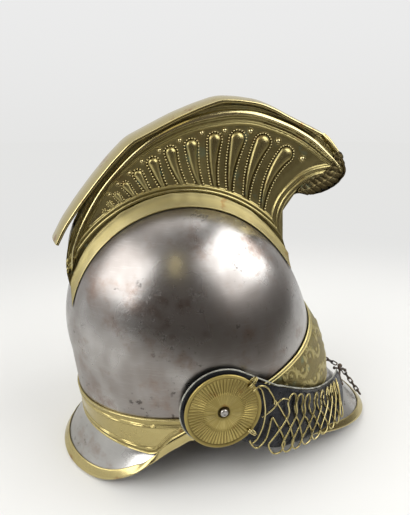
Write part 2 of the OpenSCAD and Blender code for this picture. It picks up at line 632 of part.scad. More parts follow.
// Wire loops: oval rings that stand in a row over the leather, each tilted so that it clears the next
fewer_left = 5;                      // loops that the shorter left half lacks
loop_pitch = 8.6;
loop_start = 39;
loop_share = 0.86;                   // height of a loop as a share of the strap's width
loop_seat = 0.75;                    // clearance between a loop and the leather
loop_drop = 2.5;                     // how far the loops sit below the strap's middle
function lengths(m) = [for (i = 0, d = 0; i < len(m);
    d = d + (i + 1 < len(m) ? norm(m[i + 1] - m[i]) : 0), i = i + 1) d];
function at_length(l, d, i = 0) = i >= len(l) - 2 || l[i + 1] > d
    ? i + (d - l[i]) / (l[i + 1] - l[i])
    : at_length(l, d, i + 1);
function between_points(p, s) = let (i = min(len(p) - 2, floor(s))) mix(p[i], p[i + 1], s - i);
module strap_loops(n, count) {
    e = strap_ends(n);
    m = (e[0] + e[1]) / 2;
    l = lengths(m);
    lift = leather_t / 2 + (loop_w / 2 - wire_r) * sin(loop_tilt) + wire_r;
    color(brass) for (k = [0:count - 1]) {
        s = at_length(l, loop_start + k * loop_pitch);
        top = between_points(e[0], s);
        low = between_points(e[1], s);
        i = min(len(m) - 2, floor(s));
        up = unit(top - low);
        flat_out = strap_out(e, i);
        out = unit(flat_out - up * (flat_out * up));
        side = unit(cross(up, out));
        centre = (top + low) / 2 + out * (lift + loop_seat * min(1, (k + 1) / 4)) - up * loop_drop;
        height = norm(top - low) * loop_share;
        face = out * cos(loop_tilt) + side * sin(loop_tilt);
        across = unit(cross(face, up));
        multmatrix([[up[0], across[0], face[0], centre[0]], [up[1], across[1], face[1], centre[1]],
                    [up[2], across[2], face[2], centre[2]], [0, 0, 0, 1]])
            link(height, loop_w * min(1, height / 36), wire_r);
    }
}
module strap_loops_right() { mirror_y(false) strap_loops(right_stations, loop_count); }
module strap_loops_left() { mirror_y(true) strap_loops(left_stations, loop_count - fewer_left); }

// Iron bars along the ends of the straps, and the hook on the right one
hook_r = 1.5;
arm_r = 1.2;
knob_r = 2.6;
hook_to = forward([145, 4, 33]);
module rod(a, b, r, start = 0, end = 0) {
    d = b - a;
    translate(a) rotate([0, acos(d[2] / norm(d)), atan2(d[1], d[0])]) {
        cylinder(r = r, h = norm(d), $fn = 24);
        if (start > 0) sphere(r = start, $fn = 24);
        if (end > 0) translate([0, 0, norm(d)]) sphere(r = end, $fn = 24);
    }
}
function strap_tip(n) =
    let (e = strap_ends(n), m = len(e[0]) - 1, line = unit(e[1][m] - e[0][m]),
         v = e[0][m] + e[1][m] - e[0][m - 1] - e[1][m - 1], out = unit(v - line * (v * line)))
    [for (q = [0.15, 0.75]) mix(e[0][m], e[1][m], q) + out * (hook_r + 2 * seat_gap)];
module tip_bar(n) {
    tip = strap_tip(n);
    rod(tip[0], tip[1], hook_r, hook_r * 1.15, hook_r * 1.15);
}
module closure_hook() {
    tip = strap_tip(right_stations);
    root = mix(tip[0], tip[1], 0.25);
    middle = mix(root, hook_to, 0.5);
    color(iron) {
        tip_bar(right_stations);
        rod(root, hook_to, arm_r, end = knob_r);
        rod(middle, middle + [-2, 1, 7], arm_r * 0.8);
    }
}

// Iron chains: links that stand across each other in turn
module chain(from, to, sag, count) {
    function place(f) = mix(from, to, f) + sag * 4 * f * (1 - f);
    color(iron) for (k = [0:count - 1]) {
        a = place(k / count);
        b = place((k + 1) / count);
        d = unit(b - a);
        u = unit(cross(d, [0.2, 0.1, 1]));
        v = cross(d, u);
        c = (a + b) / 2;
        w = k % 2 == 0 ? unit(u + v) : unit(u - v);
        z = cross(d, w);
        multmatrix([[d[0], w[0], z[0], c[0]], [d[1], w[1], z[1], c[1]], [d[2], w[2], z[2], c[2]],
                    [0, 0, 0, 1]])
            link(norm(b - a) + 4 * chain_wire_r + chain_play, chain_link_w, chain_wire_r);
    }
}
function chain_seat(r) = r + seat_gap + 2 * chain_wire_r + chain_play / 2;
module closure_chain() {
    tip = strap_tip(left_stations);
    low = mix(tip[0], tip[1], 0.2);
    start = [low[0], -low[1], low[2]];
    d = unit(hook_to - start);
    color(iron) mirror_y(true) tip_bar(left_stations);
    chain(start + d * chain_seat(hook_r), hook_to - d * chain_seat(knob_r), [2.5, 3, -1], 9);
}
tail_end = forward([157, -22, 10.5]);
module chain_tail() {
    d = unit(tail_end - hook_to);
    chain(hook_to + d * chain_seat(knob_r), tail_end, [0.5, -1, -1], 6);
}

// Lining: sweatband, tongues of the crown and the lace that draws them together
band_low_z = rim_z + 9;
function inside(t, z, off) = wall(t, z, -off);
module sweatband() {
    function off(k) = steel_t + tuck + skin_gap + mix(0, sweatband_in, pow(k / 3, 0.7));
    faces = [for (side = [0, leather_t]) [for (k = [0:3]) [for (t = [0:step:359.9])
        inside(t, band_low_z + k / 3 * sweatband_h, off(k) + side)]]];
    color(lining) slab(faces[0], faces[1], wrap = true);
}
tongue_low = band_low_z + sweatband_h - 8;
tongue_high = crown_z - 42;
tongue_in = steel_t + tuck + skin_gap + sweatband_in + leather_t + seat_gap;
tongue_lean = 0.5;                   // how much further in each row of a tongue lies
lace_r = 1.4;
lace_step = 7.5;
module liner_tongues() {
    color(lining) for (n = [0:tongue_count - 1]) {
        middle = (n + 0.5) * 360 / tongue_count;
        rows = [for (k = [0:8]) let (z = mix(tongue_low, tongue_high, sin(k / 8 * 90)),
            half = 180 / tongue_count * mix(0.92, 0.7, pow(k / 8, 2)))
            [z, [for (j = [-2:2]) middle + half * j / 2], tongue_in + k * tongue_lean]];
        slab([for (r = rows) [for (t = r[1]) inside(t, r[0], r[2])]],
             [for (r = rows) [for (t = r[1]) inside(t, r[0], r[2] + leather_t)]]);
    }
}
module draw_lace() {
    z = tongue_high - 1;
    off = tongue_in + 8 * tongue_lean + leather_t + lace_r + 1.2;
    ring = [for (t = [0:lace_step:359.9]) inside(t, z, off)];
    n = len(ring);
    color(leather) sweep([for (i = [0:n - 1])
        tube_ring(ring[i], ring[(i + 1) % n] - ring[(i + n - 1) % n], lace_r, 6)], loop = true);
}

skull();
front_band();
rear_band();
visor();
visor_trim();
neck_guard();
neck_guard_trim();
crest_side_right();
crest_side_left();
crest_foot_right();
crest_foot_left();
crest_cover();
crest_back_plate();
crest_front_plate();
crest_mask();
crest_brackets();
crest_bolts();
crest_nuts();
rosette_right();
rosette_left();
rosette_screw_right();
rosette_screw_left();
rosette_nut_right();
rosette_nut_left();
rosette_links_right();
rosette_links_left();
strap_right();
strap_left();
strap_piping_right();
strap_piping_left();
strap_loops_right();
strap_loops_left();
closure_hook();
closure_chain();
chain_tail();
sweatband();
liner_tongues();
draw_lace();
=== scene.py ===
# Crested cavalry helmet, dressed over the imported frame. Lengths here are in mm, meshes in metres.
import math

import bpy
import numpy as np
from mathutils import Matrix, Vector


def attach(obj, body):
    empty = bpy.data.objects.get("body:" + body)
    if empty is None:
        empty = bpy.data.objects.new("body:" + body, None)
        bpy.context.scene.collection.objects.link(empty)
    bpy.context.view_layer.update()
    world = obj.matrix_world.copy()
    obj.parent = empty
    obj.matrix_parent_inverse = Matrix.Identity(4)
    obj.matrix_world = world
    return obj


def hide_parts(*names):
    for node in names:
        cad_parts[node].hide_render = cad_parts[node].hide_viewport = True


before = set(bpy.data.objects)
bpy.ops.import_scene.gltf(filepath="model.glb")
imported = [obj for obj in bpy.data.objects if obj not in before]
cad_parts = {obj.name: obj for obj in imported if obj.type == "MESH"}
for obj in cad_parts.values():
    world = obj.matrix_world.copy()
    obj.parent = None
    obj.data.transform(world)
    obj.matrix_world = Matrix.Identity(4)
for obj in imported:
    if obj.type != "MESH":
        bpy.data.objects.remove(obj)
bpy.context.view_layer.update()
MM = 0.001
rng = np.random.default_rng(11)
scene = bpy.context.scene

# Sizes shared with the solids
HALF_LENGTH = 119.0
HALF_WIDTH = 98.0
CROWN = 240.0
BELT = 105.0
SET_BACK = 12.0
SKULL_X = -29.5
STEEL_T = 1.0
RIM = 50.0
FLARE = 24.0
LAP = 6.0
CREST_Y = 21.0
PIVOT_Z = 81.0
ROSETTE_Y = 105.73
LEAN = 3.5
# The dome stops moving back this far below the crown; below the belt the wall draws in, most at the nape
CROWN_EASE = 14.0
DRAW_IN_DEPTH = 67.0
NAPE_DRAW_IN = 7.0
# Play between the skull and a sheet that lies on it
GAP = 0.25
# Upper edge of the front band: its height at the ears, its rise over the forehead, and in degrees how round the
# peak is and how far the rise reaches
BAND_LOW = 86.0
BAND_RISE = 46.0
BROW_ROUND = 7
BROW_REACH = 80
# Upper edge of the rear band and free edge of the neck guard, both rising forward
REAR_TOP = 65.5
REAR_SLOPE = 0.06
GUARD_SLOPE = 0.69
GUARD_BEND = 8.0
GUARD_BEND_AT = 98
# Rim of the skull at the nape, rising to the rear
NAPE_RIM = 37.5
NAPE_SLOPE = 0.09
SIDES = ((-1, "right"), (1, "left"))


# Curves and surfaces
def arr(points):
    return np.asarray(points, float)


def ease(low, high, v):
    """Smooth step from 0 at low to 1 at high."""
    f = np.clip((np.asarray(v, float) - low) / (high - low), 0, 1)
    return f * f * (3 - 2 * f)


def spline(points, cuts):
    """Smooth curve through the points, with so many cuts between two of them."""
    p = arr(points)
    n = len(p) - 1
    rows = []
    for i in range(n):
        a, b, c, d = p[max(0, i - 1)], p[i], p[i + 1], p[min(n, i + 2)]
        for k in range(cuts):
            f = k / cuts
            rows.append(0.5 * (2 * b + (c - a) * f + (2 * a - 5 * b + 4 * c - d) * f * f
                               + (3 * b - a - 3 * c + d) * f ** 3))
    rows.append(p[-1])
    return np.array(rows)


def lengths(path):
    """Running length at each point of a path."""
    return np.concatenate([[0], np.cumsum(np.linalg.norm(np.diff(path, axis=0), axis=1))])


def even(path, count):
    """The path again with count points at equal distances."""
    path = arr(path)
    run = lengths(path)
    at = np.linspace(0, run[-1], count)
    return np.stack([np.interp(at, run, path[:, k]) for k in range(path.shape[1])], 1)


def smooth(points, count):
    """Smooth curve through the points, with count points at equal distances."""
    return even(spline(points, 8), count)


def round_corners(path, share, times=3):
    path = arr(path)
    for _ in range(times):
        rows = [path[0]]
        for a, b in zip(path[:-1], path[1:]):
            reach = min(0.25, share / max(1e-6, np.linalg.norm(b - a)))
            rows += [a + (b - a) * reach, b - (b - a) * reach]
        rows.append(path[-1])
        path = np.array(rows)
        share *= 0.5
    return path


def unit(v):
    v = arr(v)
    return v / np.maximum(1e-9, np.linalg.norm(v, axis=-1, keepdims=True))


def upright(xz, y):
    """Points of the crest's plane, moved sideways to y."""
    xz = arr(xz)
    return np.stack([xz[..., 0], np.broadcast_to(y, xz.shape[:-1]), xz[..., 1]], -1)


def cosd(t):
    return np.cos(np.radians(t))


def sind(t):
    return np.sin(np.radians(t))


def turn(t):
    """Plan angle from the front, the same on both sides."""
    t = np.abs(t)
    return np.where(t > 180, 360 - t, t)


def front_rim(t):
    return np.full_like(t, RIM)


def front_top(t):
    t = turn(t)
    return BAND_LOW + BAND_RISE * np.maximum(0, 1 - (np.sqrt(t * t + BROW_ROUND ** 2) / BROW_REACH) ** 1.15)


def plan_normal(t):
    return unit(np.stack([cosd(t) / HALF_LENGTH, sind(t) / HALF_WIDTH, np.zeros_like(t)], -1))


def dome_x(z):
    """Middle of the dome's plan, which moves back as the dome rises."""
    rise = np.minimum(1, (z - BELT) / (CROWN - BELT - CROWN_EASE))
    return SKULL_X - SET_BACK * (1 - (1 - rise) ** 2)


def wall(t, z, off=0.0):
    """Point of the skull's outside at plan angle t and height z, moved outward by off."""
    t, z, off = np.broadcast_arrays(arr(t), arr(z), arr(off))
    c, s = cosd(t), sind(t)
    cx = np.where(z <= BELT, SKULL_X, dome_x(z))
    k = np.where(z <= BELT, 1, np.sqrt(np.maximum(0, 1 - ((z - BELT) / (CROWN - BELT)) ** 2)))
    low = np.maximum(0, BELT - z) / DRAW_IN_DEPTH
    half_l = HALF_LENGTH * k - np.where(c < 0, NAPE_DRAW_IN * low, 0)
    half_w = HALF_WIDTH * k - low
    top = front_top(t)
    q = np.clip((top - z) / (top - RIM - 4), 0, 1)
    flare = np.where(turn(t) < 90, FLARE * (1 - (1 - q) ** 1.45) * np.maximum(0, c) ** 1.5, 0)
    return np.stack([cx + half_l * c + flare, half_w * s, z], -1) + plan_normal(t) * off[..., None]


def rear_top(t):
    return REAR_TOP + REAR_SLOPE * (wall(t, BELT)[..., 0] - SKULL_X + HALF_LENGTH)


def guard_rise(x):
    return GUARD_SLOPE * GUARD_BEND * np.log(1 + np.exp((x - SKULL_X + GUARD_BEND_AT) / GUARD_BEND))


def rim(t):
    x = wall(t, RIM)[..., 0]
    line = NAPE_RIM - NAPE_SLOPE * (x - SKULL_X + HALF_LENGTH)
    return np.where(turn(t) < 90, RIM, np.minimum(RIM, np.maximum(line, guard_rise(x))))


def seam(t):
    q = turn(t)
    side = front_top(q) + (rear_top(t) - front_top(q)) * ease(78, 90, q)
    return np.where(q < 90, side, rear_top(t))


def skull_z(x, y, off=0.0):
    """Height of the dome over a point of its plan."""
    x, y = np.broadcast_arrays(arr(x), arr(y))
    z = np.full(x.shape, 150.0)
    for _ in range(40):
        inside = 1 - ((x - dome_x(z)) / (HALF_LENGTH + off)) ** 2 - (y / (HALF_WIDTH + off)) ** 2
        z = 0.5 * z + 0.5 * (BELT + (CROWN - BELT + off) * np.sqrt(np.maximum(0, inside)))
    return z


# Smooth wander of a hand-worked surface
waves = rng.normal(0, 1, (14, 3))
phases = rng.uniform(0, 6.28, len(waves))


def wander(p, size):
    total = np.zeros(p.shape[:-1])
    for w, ph in zip(waves, phases):
        total += np.sin(p @ (w / size) + ph)
    return total / 5


# Mesh building
def outward(verts, quads, extra):
    """Quads and other faces of a closed mesh, turned so that they face out."""
    centred = verts - verts.mean(0)
    quads = np.asarray(quads, int).reshape(-1, 4)
    a, b, c, d = (centred[quads[:, k]] for k in range(4))
    volume = np.sum(a * (np.cross(b, c) + np.cross(c, d)))
    for f in extra:
        a = centred[f[0]]
        volume += sum(np.dot(a, np.cross(centred[f[k]], centred[f[k + 1]])) for k in range(1, len(f) - 1))
    if volume < 0:
        return quads[:, ::-1], [f[::-1] for f in extra]
    return quads, extra


def make_mesh(name, verts, quads, extra=(), relief=None, sharp=40):
    """Mesh in metres with its faces outward; the tone, from 0 to 1, tints the metal: mostly painted shade where it is
    low and painted light where it is high.
    """
    verts = arr(verts)
    quads, extra = outward(verts, quads, [list(map(int, f)) for f in extra])
    mesh = bpy.data.meshes.new(name)
    mesh.from_pydata((verts * MM).tolist(), [], quads.tolist() + extra)
    mesh.update()
    mesh.shade_smooth()
    mesh.set_sharp_from_angle(angle=math.radians(sharp))
    data = mesh.attributes.new("relief", "FLOAT", "POINT")
    values = np.full(len(verts), 0.5) if relief is None else np.clip(relief, 0, 1)
    data.data.foreach_set("value", values.astype(np.float32))
    return mesh


def strip_quads(rows, cols, start, wrap):
    """Faces between neighbours of a grid whose points are numbered from start."""
    i, j = np.meshgrid(np.arange(rows - 1), np.arange(cols if wrap else cols - 1), indexing="ij")
    k = (j + 1) % cols
    return np.stack([start + i * cols + j, start + i * cols + k,
                     start + (i + 1) * cols + k, start + (i + 1) * cols + j], -1).reshape(-1, 4)


def end_faces(rows, sides):
    """The two faces that close a tube of rings."""
    return [list(range(sides))[::-1], list(range((rows - 1) * sides, rows * sides))]


def shell_parts(outer, inner, wrap=False, cap=False):
    """Closed solid between two grids with the same number of columns."""
    r1, cols = outer.shape[:2]
    r2 = inner.shape[0]
    base = r1 * cols
    verts = np.concatenate([outer.reshape(-1, 3), inner.reshape(-1, 3)])
    quads = [strip_quads(r1, cols, 0, wrap), strip_quads(r2, cols, base, wrap)[:, ::-1]]
    j = np.arange(cols if wrap else cols - 1)
    k = (j + 1) % cols
    quads.append(np.stack([k, j, base + j, base + k], -1))
    extra = []
    a, b = (r1 - 1) * cols, base + (r2 - 1) * cols
    if cap:
        extra = [list(a + np.arange(cols)), list(b + np.arange(cols))[::-1]]
    else:
        quads.append(np.stack([a + j, a + k, b + k, b + j], -1))
    if not wrap:
        first = [i * cols for i in range(r1)] + [base + i * cols for i in range(r2 - 1, -1, -1)]
        last = [i * cols + cols - 1 for i in range(r1 - 1, -1, -1)]
        last += [base + i * cols + cols - 1 for i in range(r2)]
        extra += [first, last]
    return verts, np.concatenate(quads), extra


def shell(name, outer, inner, wrap=False, cap=False, relief=None, sharp=40):
    verts, quads, extra = shell_parts(outer, inner, wrap, cap)
    if relief is not None:
        relief = np.concatenate([np.ravel(relief), np.full(len(verts) - np.size(relief), 0.35)])
    return make_mesh(name, verts, quads, extra, relief, sharp)


def tube_parts(path, radius, sides=10, closed=False):
    """Tube along a path, closed at its ends or into a ring without a twist at the join."""
    path = arr(path)
    n = len(path)
    along = unit(np.roll(path, -1, 0) - np.roll(path, 1, 0) if closed else np.gradient(path, axis=0))
    seed = np.array([0.13, 0.2, 1.0])
    if abs(np.dot(along[0], unit(seed))) > 0.9:
        seed = np.array([1.0, 0.1, 0.0])
    u = np.zeros_like(path)
    u[0] = unit(np.cross(along[0], seed))
    for i in range(1, n):
        u[i] = unit(u[i - 1] - along[i] * np.dot(u[i - 1], along[i]))
    if closed:
        v = unit(u[-1] - along[0] * np.dot(u[-1], along[0]))
        twist = math.atan2(np.dot(v, np.cross(along[0], u[0])), np.dot(v, u[0]))
        spin = (-twist * np.arange(n) / n)[:, None]
        u = u * np.cos(spin) + np.cross(along, u) * np.sin(spin)
    w = np.cross(along, u)
    a = (np.arange(sides) * 2 * math.pi / sides)[:, None]
    ring = u[:, None] * np.cos(a) + w[:, None] * np.sin(a)
    radius = np.broadcast_to(arr(radius), (n,))
    verts = (path[:, None] + ring * radius[:, None, None]).reshape(-1, 3)
    quads = strip_quads(n + closed, sides, 0, True) % (n * sides)
    return verts, quads, [] if closed else end_faces(n, sides)


def merge_parts(parts):
    """Several closed parts as one set of points and faces."""
    verts, quads, extra, start = [], [], [], 0
    for v, q, e in parts:
        q, e = outward(v, q, e)
        verts.append(v)
        quads.append(q + start)
        extra += [[k + start for k in f] for f in e]
        start += len(v)
    return np.concatenate(verts), np.concatenate(quads), extra


def dome_parts(centre, axis, radius, height, sides=8, rings=3):
    """A closed button: a domed cap over a short sunk foot."""
    axis = unit(axis)
    u = unit(np.cross(axis, [0.31, 0.2, 0.9]))
    w = np.cross(axis, u)
    a = np.arange(sides) * 2 * math.pi / sides
    circle = u[None] * np.cos(a)[:, None] + w[None] * np.sin(a)[:, None]
    rows = [centre + circle * radius - axis * 0.6 * radius]
    for share in [k / rings for k in range(rings)] + [0.9]:
        f = share * math.pi / 2
        rows.append(centre + circle * radius * math.cos(f) + axis * height * math.sin(f))
    verts = np.concatenate(rows)
    return verts, strip_quads(len(rows), sides, 0, True), end_faces(len(rows), sides)


def piece(mesh, body, material, nodes=()):
    obj = bpy.data.objects.new(mesh.name, mesh)
    scene.collection.objects.link(obj)
    mesh.materials.clear()
    mesh.materials.append(material)
    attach(obj, body)
    if nodes:
        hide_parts(*nodes)


def merged_piece(name, parts, body, material, nodes=(), tone=None, sharp=40):
    """One piece from closed parts; tone is a value, a list, or a function of the points."""
    verts, quads, extra = merge_parts(parts)
    if callable(tone):
        tone = tone(verts)
    elif isinstance(tone, float):
        tone = np.full(len(verts), tone)
    piece(make_mesh(name, verts, quads, extra, tone, sharp), body, material, nodes)


def mirror_parts(parts):
    return [(v * [1, -1, 1], np.asarray(q)[:, ::-1], [f[::-1] for f in e]) for v, q, e in parts]


def both_sides(parts):
    return ("right", parts), ("left", mirror_parts(parts))


# Materials
class Nodes:
    """Builds one node tree, with short calls for the nodes that recur."""

    def __init__(self, tree):
        self.tree = tree

    def link(self, a, b):
        self.tree.links.new(a, b)

    def add(self, kind, **settings):
        node = self.tree.nodes.new("ShaderNode" + kind)
        for key, value in settings.items():
            setattr(node, key, value)
        return node

    def fill(self, node, values):
        """Set or link inputs; a tuple of three is a colour."""
        for key, v in values:
            if isinstance(v, tuple):
                node.inputs[key].default_value = (*v, 1.0)
            elif isinstance(v, (int, float)):
                node.inputs[key].default_value = v
            else:
                self.link(v, node.inputs[key])

    def span(self, value, low, high, out_low=0.0, out_high=1.0):
        n = self.add("MapRange", interpolation_type="SMOOTHSTEP")
        self.fill(n, (("From Min", low), ("From Max", high), ("To Min", out_low), ("To Max", out_high),
                      ("Value", value)))
        return n.outputs["Result"]

    def calc(self, kind, a, b):
        n = self.add("Math", operation=kind, use_clamp=True)
        self.fill(n, ((0, a), (1, b)))
        return n.outputs[0]

    def times(self, a, b):
        return self.calc("MULTIPLY", a, b)

    def plus(self, a, b):
        return self.calc("ADD", a, b)

    def mix(self, fac, a, b):
        n = self.add("Mix", data_type="RGBA")
        self.fill(n, ((0, fac), (6, a), (7, b)))
        return n.outputs[2]


class Shade(Nodes):
    """A procedural surface on the object's own coordinates."""

    def __init__(self, name):
        self.mat = bpy.data.materials.new(name)
        self.mat.use_nodes = True
        super().__init__(self.mat.node_tree)
        self.bsdf = self.tree.nodes["Principled BSDF"]
        self.coord = self.add("TexCoord").outputs["Object"]

    def stretched(self, scale):
        m = self.add("Mapping")
        m.inputs["Scale"].default_value = scale
        self.link(self.coord, m.inputs["Vector"])
        return m.outputs["Vector"]

    def noise(self, scale, detail=4.0, rough=0.6, stretch=None):
        n = self.add("TexNoise")
        self.fill(n, (("Scale", scale), ("Detail", detail), ("Roughness", rough)))
        self.link(self.stretched(stretch) if stretch else self.coord, n.inputs["Vector"])
        return n.outputs["Fac"]

    def cells(self, scale):
        n = self.add("TexVoronoi")
        self.fill(n, (("Scale", scale), ("Vector", self.coord)))
        return n.outputs["Distance"]

    def relief(self):
        return self.add("Attribute", attribute_name="relief").outputs["Fac"]

    def bump(self, height, strength, distance, after=None):
        n = self.add("Bump")
        self.fill(n, (("Strength", strength), ("Distance", distance), ("Height", height)))
        if after:
            self.link(after, n.inputs["Normal"])
        return n.outputs["Normal"]

    def finish(self, colour, rough, normal, metallic=1.0):
        self.fill(self.bsdf, (("Metallic", metallic), ("Base Color", colour), ("Roughness", rough),
                              ("Normal", normal)))
        return self.mat


def steel_material(name, clean, patina, rust, rough_low, rough_high, pit_amount):
    s = Shade(name)
    broad = s.noise(16, 3, 0.55, (1, 1, 0.8))
    fine = s.noise(140, 5, 0.7)
    scratch = s.noise(60, 4, 0.6, (1, 1, 14))
    colour = s.mix(s.span(broad, 0.36, 0.66), clean, patina)
    colour = s.mix(s.times(s.span(s.noise(34, 4, 0.65), 0.5, 0.74), 0.8), colour, rust)
    pits = s.times(s.span(fine, 0.57, 0.66), s.span(s.noise(22, 3, 0.6), 0.44, 0.6))
    colour = s.mix(s.times(pits, pit_amount), colour, (0.05, 0.042, 0.036))
    colour = s.mix(s.times(s.span(scratch, 0.54, 0.66), 0.07), colour, (0.62, 0.6, 0.57))
    rough = s.span(broad, 0.3, 0.7, rough_low, rough_high)
    rough = s.plus(rough, s.times(pits, 0.1))
    normal = s.bump(s.noise(420, 3, 0.6), 0.1, 0.0003)
    normal = s.bump(pits, 0.18, -0.0003, normal)
    normal = s.bump(s.noise(26, 2, 0.5), 0.14, 0.002, normal)
    return s.finish(colour, rough, normal)


def brass_material(name, bright, mid, dark, verdigris, spots, rough_low=0.11, rough_high=0.4):
    s = Shade(name)
    relief = s.relief()
    broad = s.noise(30, 4, 0.6)
    fine = s.noise(190, 4, 0.65)
    height = s.plus(s.times(relief, 0.86), s.times(fine, 0.14))
    # Dark, middle and bright colour by the tone: painted shade in hollows, painted light on raised parts
    colour = s.mix(s.span(height, 0.1, 0.5), dark, mid)
    colour = s.mix(s.span(height, 0.45, 0.92), colour, bright)
    colour = s.mix(s.times(s.span(broad, 0.45, 0.72), 0.5), colour, mid)
    spot = s.span(s.noise(75, 3, 0.55), 0.61, 0.72)
    colour = s.mix(s.times(spot, spots), colour, (0.27, 0.12, 0.035))
    green = s.times(s.span(s.noise(48, 5, 0.7), 0.55, 0.68), s.span(relief, 0.5, 0.15))
    colour = s.mix(s.times(green, verdigris), colour, (0.2, 0.33, 0.25))
    rough = s.span(height, 0.2, 0.8, rough_high, rough_low)
    rough = s.plus(rough, s.times(broad, 0.1))
    normal = s.bump(s.noise(360, 3, 0.6), 0.14, 0.0003)
    normal = s.bump(s.noise(38, 2, 0.5), 0.12, 0.0016, normal)
    return s.finish(colour, rough, normal)


# Steel: clean, patina and rust colour, lowest and highest roughness, and how dark the pits are
steel = steel_material("old_steel", (0.43, 0.415, 0.4), (0.25, 0.228, 0.212), (0.22, 0.16, 0.13), 0.22, 0.34,
                       0.75)
bright_steel = steel_material("bright_steel", (0.49, 0.48, 0.46), (0.36, 0.35, 0.33), (0.28, 0.23, 0.19), 0.22,
                              0.34, 0.8)
screw_steel = steel_material("screw_steel", (0.42, 0.4, 0.38), (0.27, 0.25, 0.23), (0.2, 0.15, 0.12), 0.3, 0.44,
                             0.8)
# Brass: bright, middle and dark colour, laid by the tone as painted light on raised parts and painted shade in
# hollows, then verdigris, spots, and the roughness of bright and of dark places
brass = brass_material("old_brass", (0.74, 0.645, 0.36), (0.48, 0.41, 0.18), (0.1, 0.075, 0.027), 0.5, 0.25)
plain_brass = brass_material("plain_brass", (0.58, 0.495, 0.25), (0.43, 0.355, 0.15), (0.13, 0.098, 0.036), 0.45,
                             0.75)
satin_brass = brass_material("satin_brass", (0.48, 0.42, 0.24), (0.36, 0.305, 0.135), (0.12, 0.09, 0.04), 0.6, 0.5,
                             0.42, 0.56)
chased_brass = brass_material("chased_brass", (0.64, 0.555, 0.285), (0.46, 0.39, 0.165), (0.13, 0.1, 0.035), 0.6, 0.3,
                              0.2, 0.42)
gilt_brass = brass_material("gilt_brass", (0.58, 0.48, 0.2), (0.41, 0.325, 0.11), (0.12, 0.09, 0.032), 0.35, 0.5, 0.29,
                            0.45)
dark_brass = brass_material("dark_brass", (0.47, 0.38, 0.2), (0.22, 0.175, 0.08), (0.04, 0.03, 0.013), 0.4, 0.4)
wire_brass = brass_material("wire_brass", (0.6, 0.52, 0.27), (0.43, 0.36, 0.15), (0.16, 0.12, 0.045), 0.3, 0.25)


def leather_material(name, base, worn, seam_tint, rough=0.42):
    s = Shade(name)
    grain = s.cells(900)
    folds = s.noise(60, 4, 0.6)
    wear = s.span(s.noise(40, 5, 0.7), 0.52, 0.72)
    colour = s.mix(s.span(folds, 0.35, 0.7), base, seam_tint)
    colour = s.mix(s.times(wear, 0.45), colour, worn)
    shine = s.span(folds, 0.3, 0.7, rough, rough + 0.22)
    normal = s.bump(grain, 0.35, 0.0004)
    normal = s.bump(folds, 0.7, 0.0022, normal)
    s.bsdf.inputs["Specular IOR Level"].default_value = 0.28
    return s.finish(colour, shine, normal, 0.0)


black_leather = leather_material("black_leather", (0.009, 0.01, 0.014), (0.042, 0.047, 0.056), (0.014, 0.016, 0.021),
                                 0.17)
lining_leather = leather_material("lining_leather", (0.13, 0.075, 0.04), (0.26, 0.17, 0.1), (0.09, 0.05, 0.028),
                                  0.6)


def piping_material():
    s = Shade("pale_piping")
    dirt = s.noise(90, 5, 0.7)
    colour = s.mix(s.span(dirt, 0.42, 0.66), (0.38, 0.38, 0.33), (0.17, 0.17, 0.14))
    return s.finish(colour, s.span(dirt, 0.3, 0.7, 0.42, 0.62), s.bump(s.noise(500, 2, 0.5), 0.4, 0.0003), 0.0)


def iron_material():
    s = Shade("dark_iron")
    mottle = s.noise(120, 5, 0.7)
    colour = s.mix(s.span(mottle, 0.4, 0.7), (0.07, 0.062, 0.055), (0.16, 0.11, 0.075))
    return s.finish(colour, s.span(mottle, 0.3, 0.7, 0.38, 0.62), s.bump(mottle, 0.4, 0.0005), 0.85)


piping = piping_material()
iron = iron_material()

# Skull: a smooth steel dome, and a skirt behind the bands that steps in over the laps of visor and guard
SKIRT_ROWS = 6
SKIRT_STEP = 0.5
DOME_ROWS = 48
POLE = 89.0
HAMMER_SIZE = 34
HAMMER_DEPTH = 0.16
angles = np.arange(0, 360, 2.0)
skirt_foot = rim(angles) + LAP + GAP
dome_start = (seam(angles) - BELT) / (CROWN - BELT)
dome_start = np.where(dome_start > 0, np.degrees(np.arcsin(np.clip(dome_start, 0, 1))), np.degrees(dome_start))


def skull_rows(inside):
    """Rings of the outside (0) or the inside (1), from the skirt's foot to the crown."""
    rows = [wall(angles, skirt_foot + (seam(angles) - skirt_foot) * k / SKIRT_ROWS, -SKIRT_STEP - inside * STEEL_T)
            for k in range(SKIRT_ROWS)]
    for k in range(DOME_ROWS + 1):
        h = dome_start + (POLE - dome_start) * k / DOME_ROWS
        z = BELT + (CROWN - BELT) * np.where(h > 0, sind(h), np.radians(h))
        row = wall(angles, z, -inside * STEEL_T)
        row[:, 2] -= inside * STEEL_T * np.maximum(0, sind(h))
        if not inside:
            hammered = wander(row, HAMMER_SIZE) * HAMMER_DEPTH * np.minimum(1, k / 6)
            row += plan_normal(angles) * hammered[:, None]
        rows.append(row)
    return np.array(rows)


piece(shell("skull_dome", skull_rows(0), skull_rows(1), wrap=True, cap=True), "helmet", steel, ["skull"])


# Raised edges and reliefs
def hump(q):
    """Half round across its width, for q from -1 to 1."""
    return np.sqrt(np.maximum(0, 1 - q ** 2))


def bead(d, centre, radius, height):
    return height * hump((d - centre) / radius)


def beads(d, *rows):
    return sum(bead(d, *row) for row in rows)


def polyline_distance(px, pz, line):
    """Distance to a line of points and where along it the nearest point lies, from 0 to 1."""
    line = arr(line)
    best = np.full(px.shape, 1e9)
    where = np.zeros(px.shape)
    run = lengths(line)
    for i in range(len(line) - 1):
        a, b = line[i], line[i + 1]
        d = b - a
        size = float(d @ d) + 1e-12
        f = np.clip(((px - a[0]) * d[0] + (pz - a[1]) * d[1]) / size, 0, 1)
        dist = np.hypot(px - a[0] - f * d[0], pz - a[1] - f * d[1])
        near = dist < best
        best = np.where(near, dist, best)
        where = np.where(near, (run[i] + f * (run[i + 1] - run[i])) / run[-1], where)
    return best, where


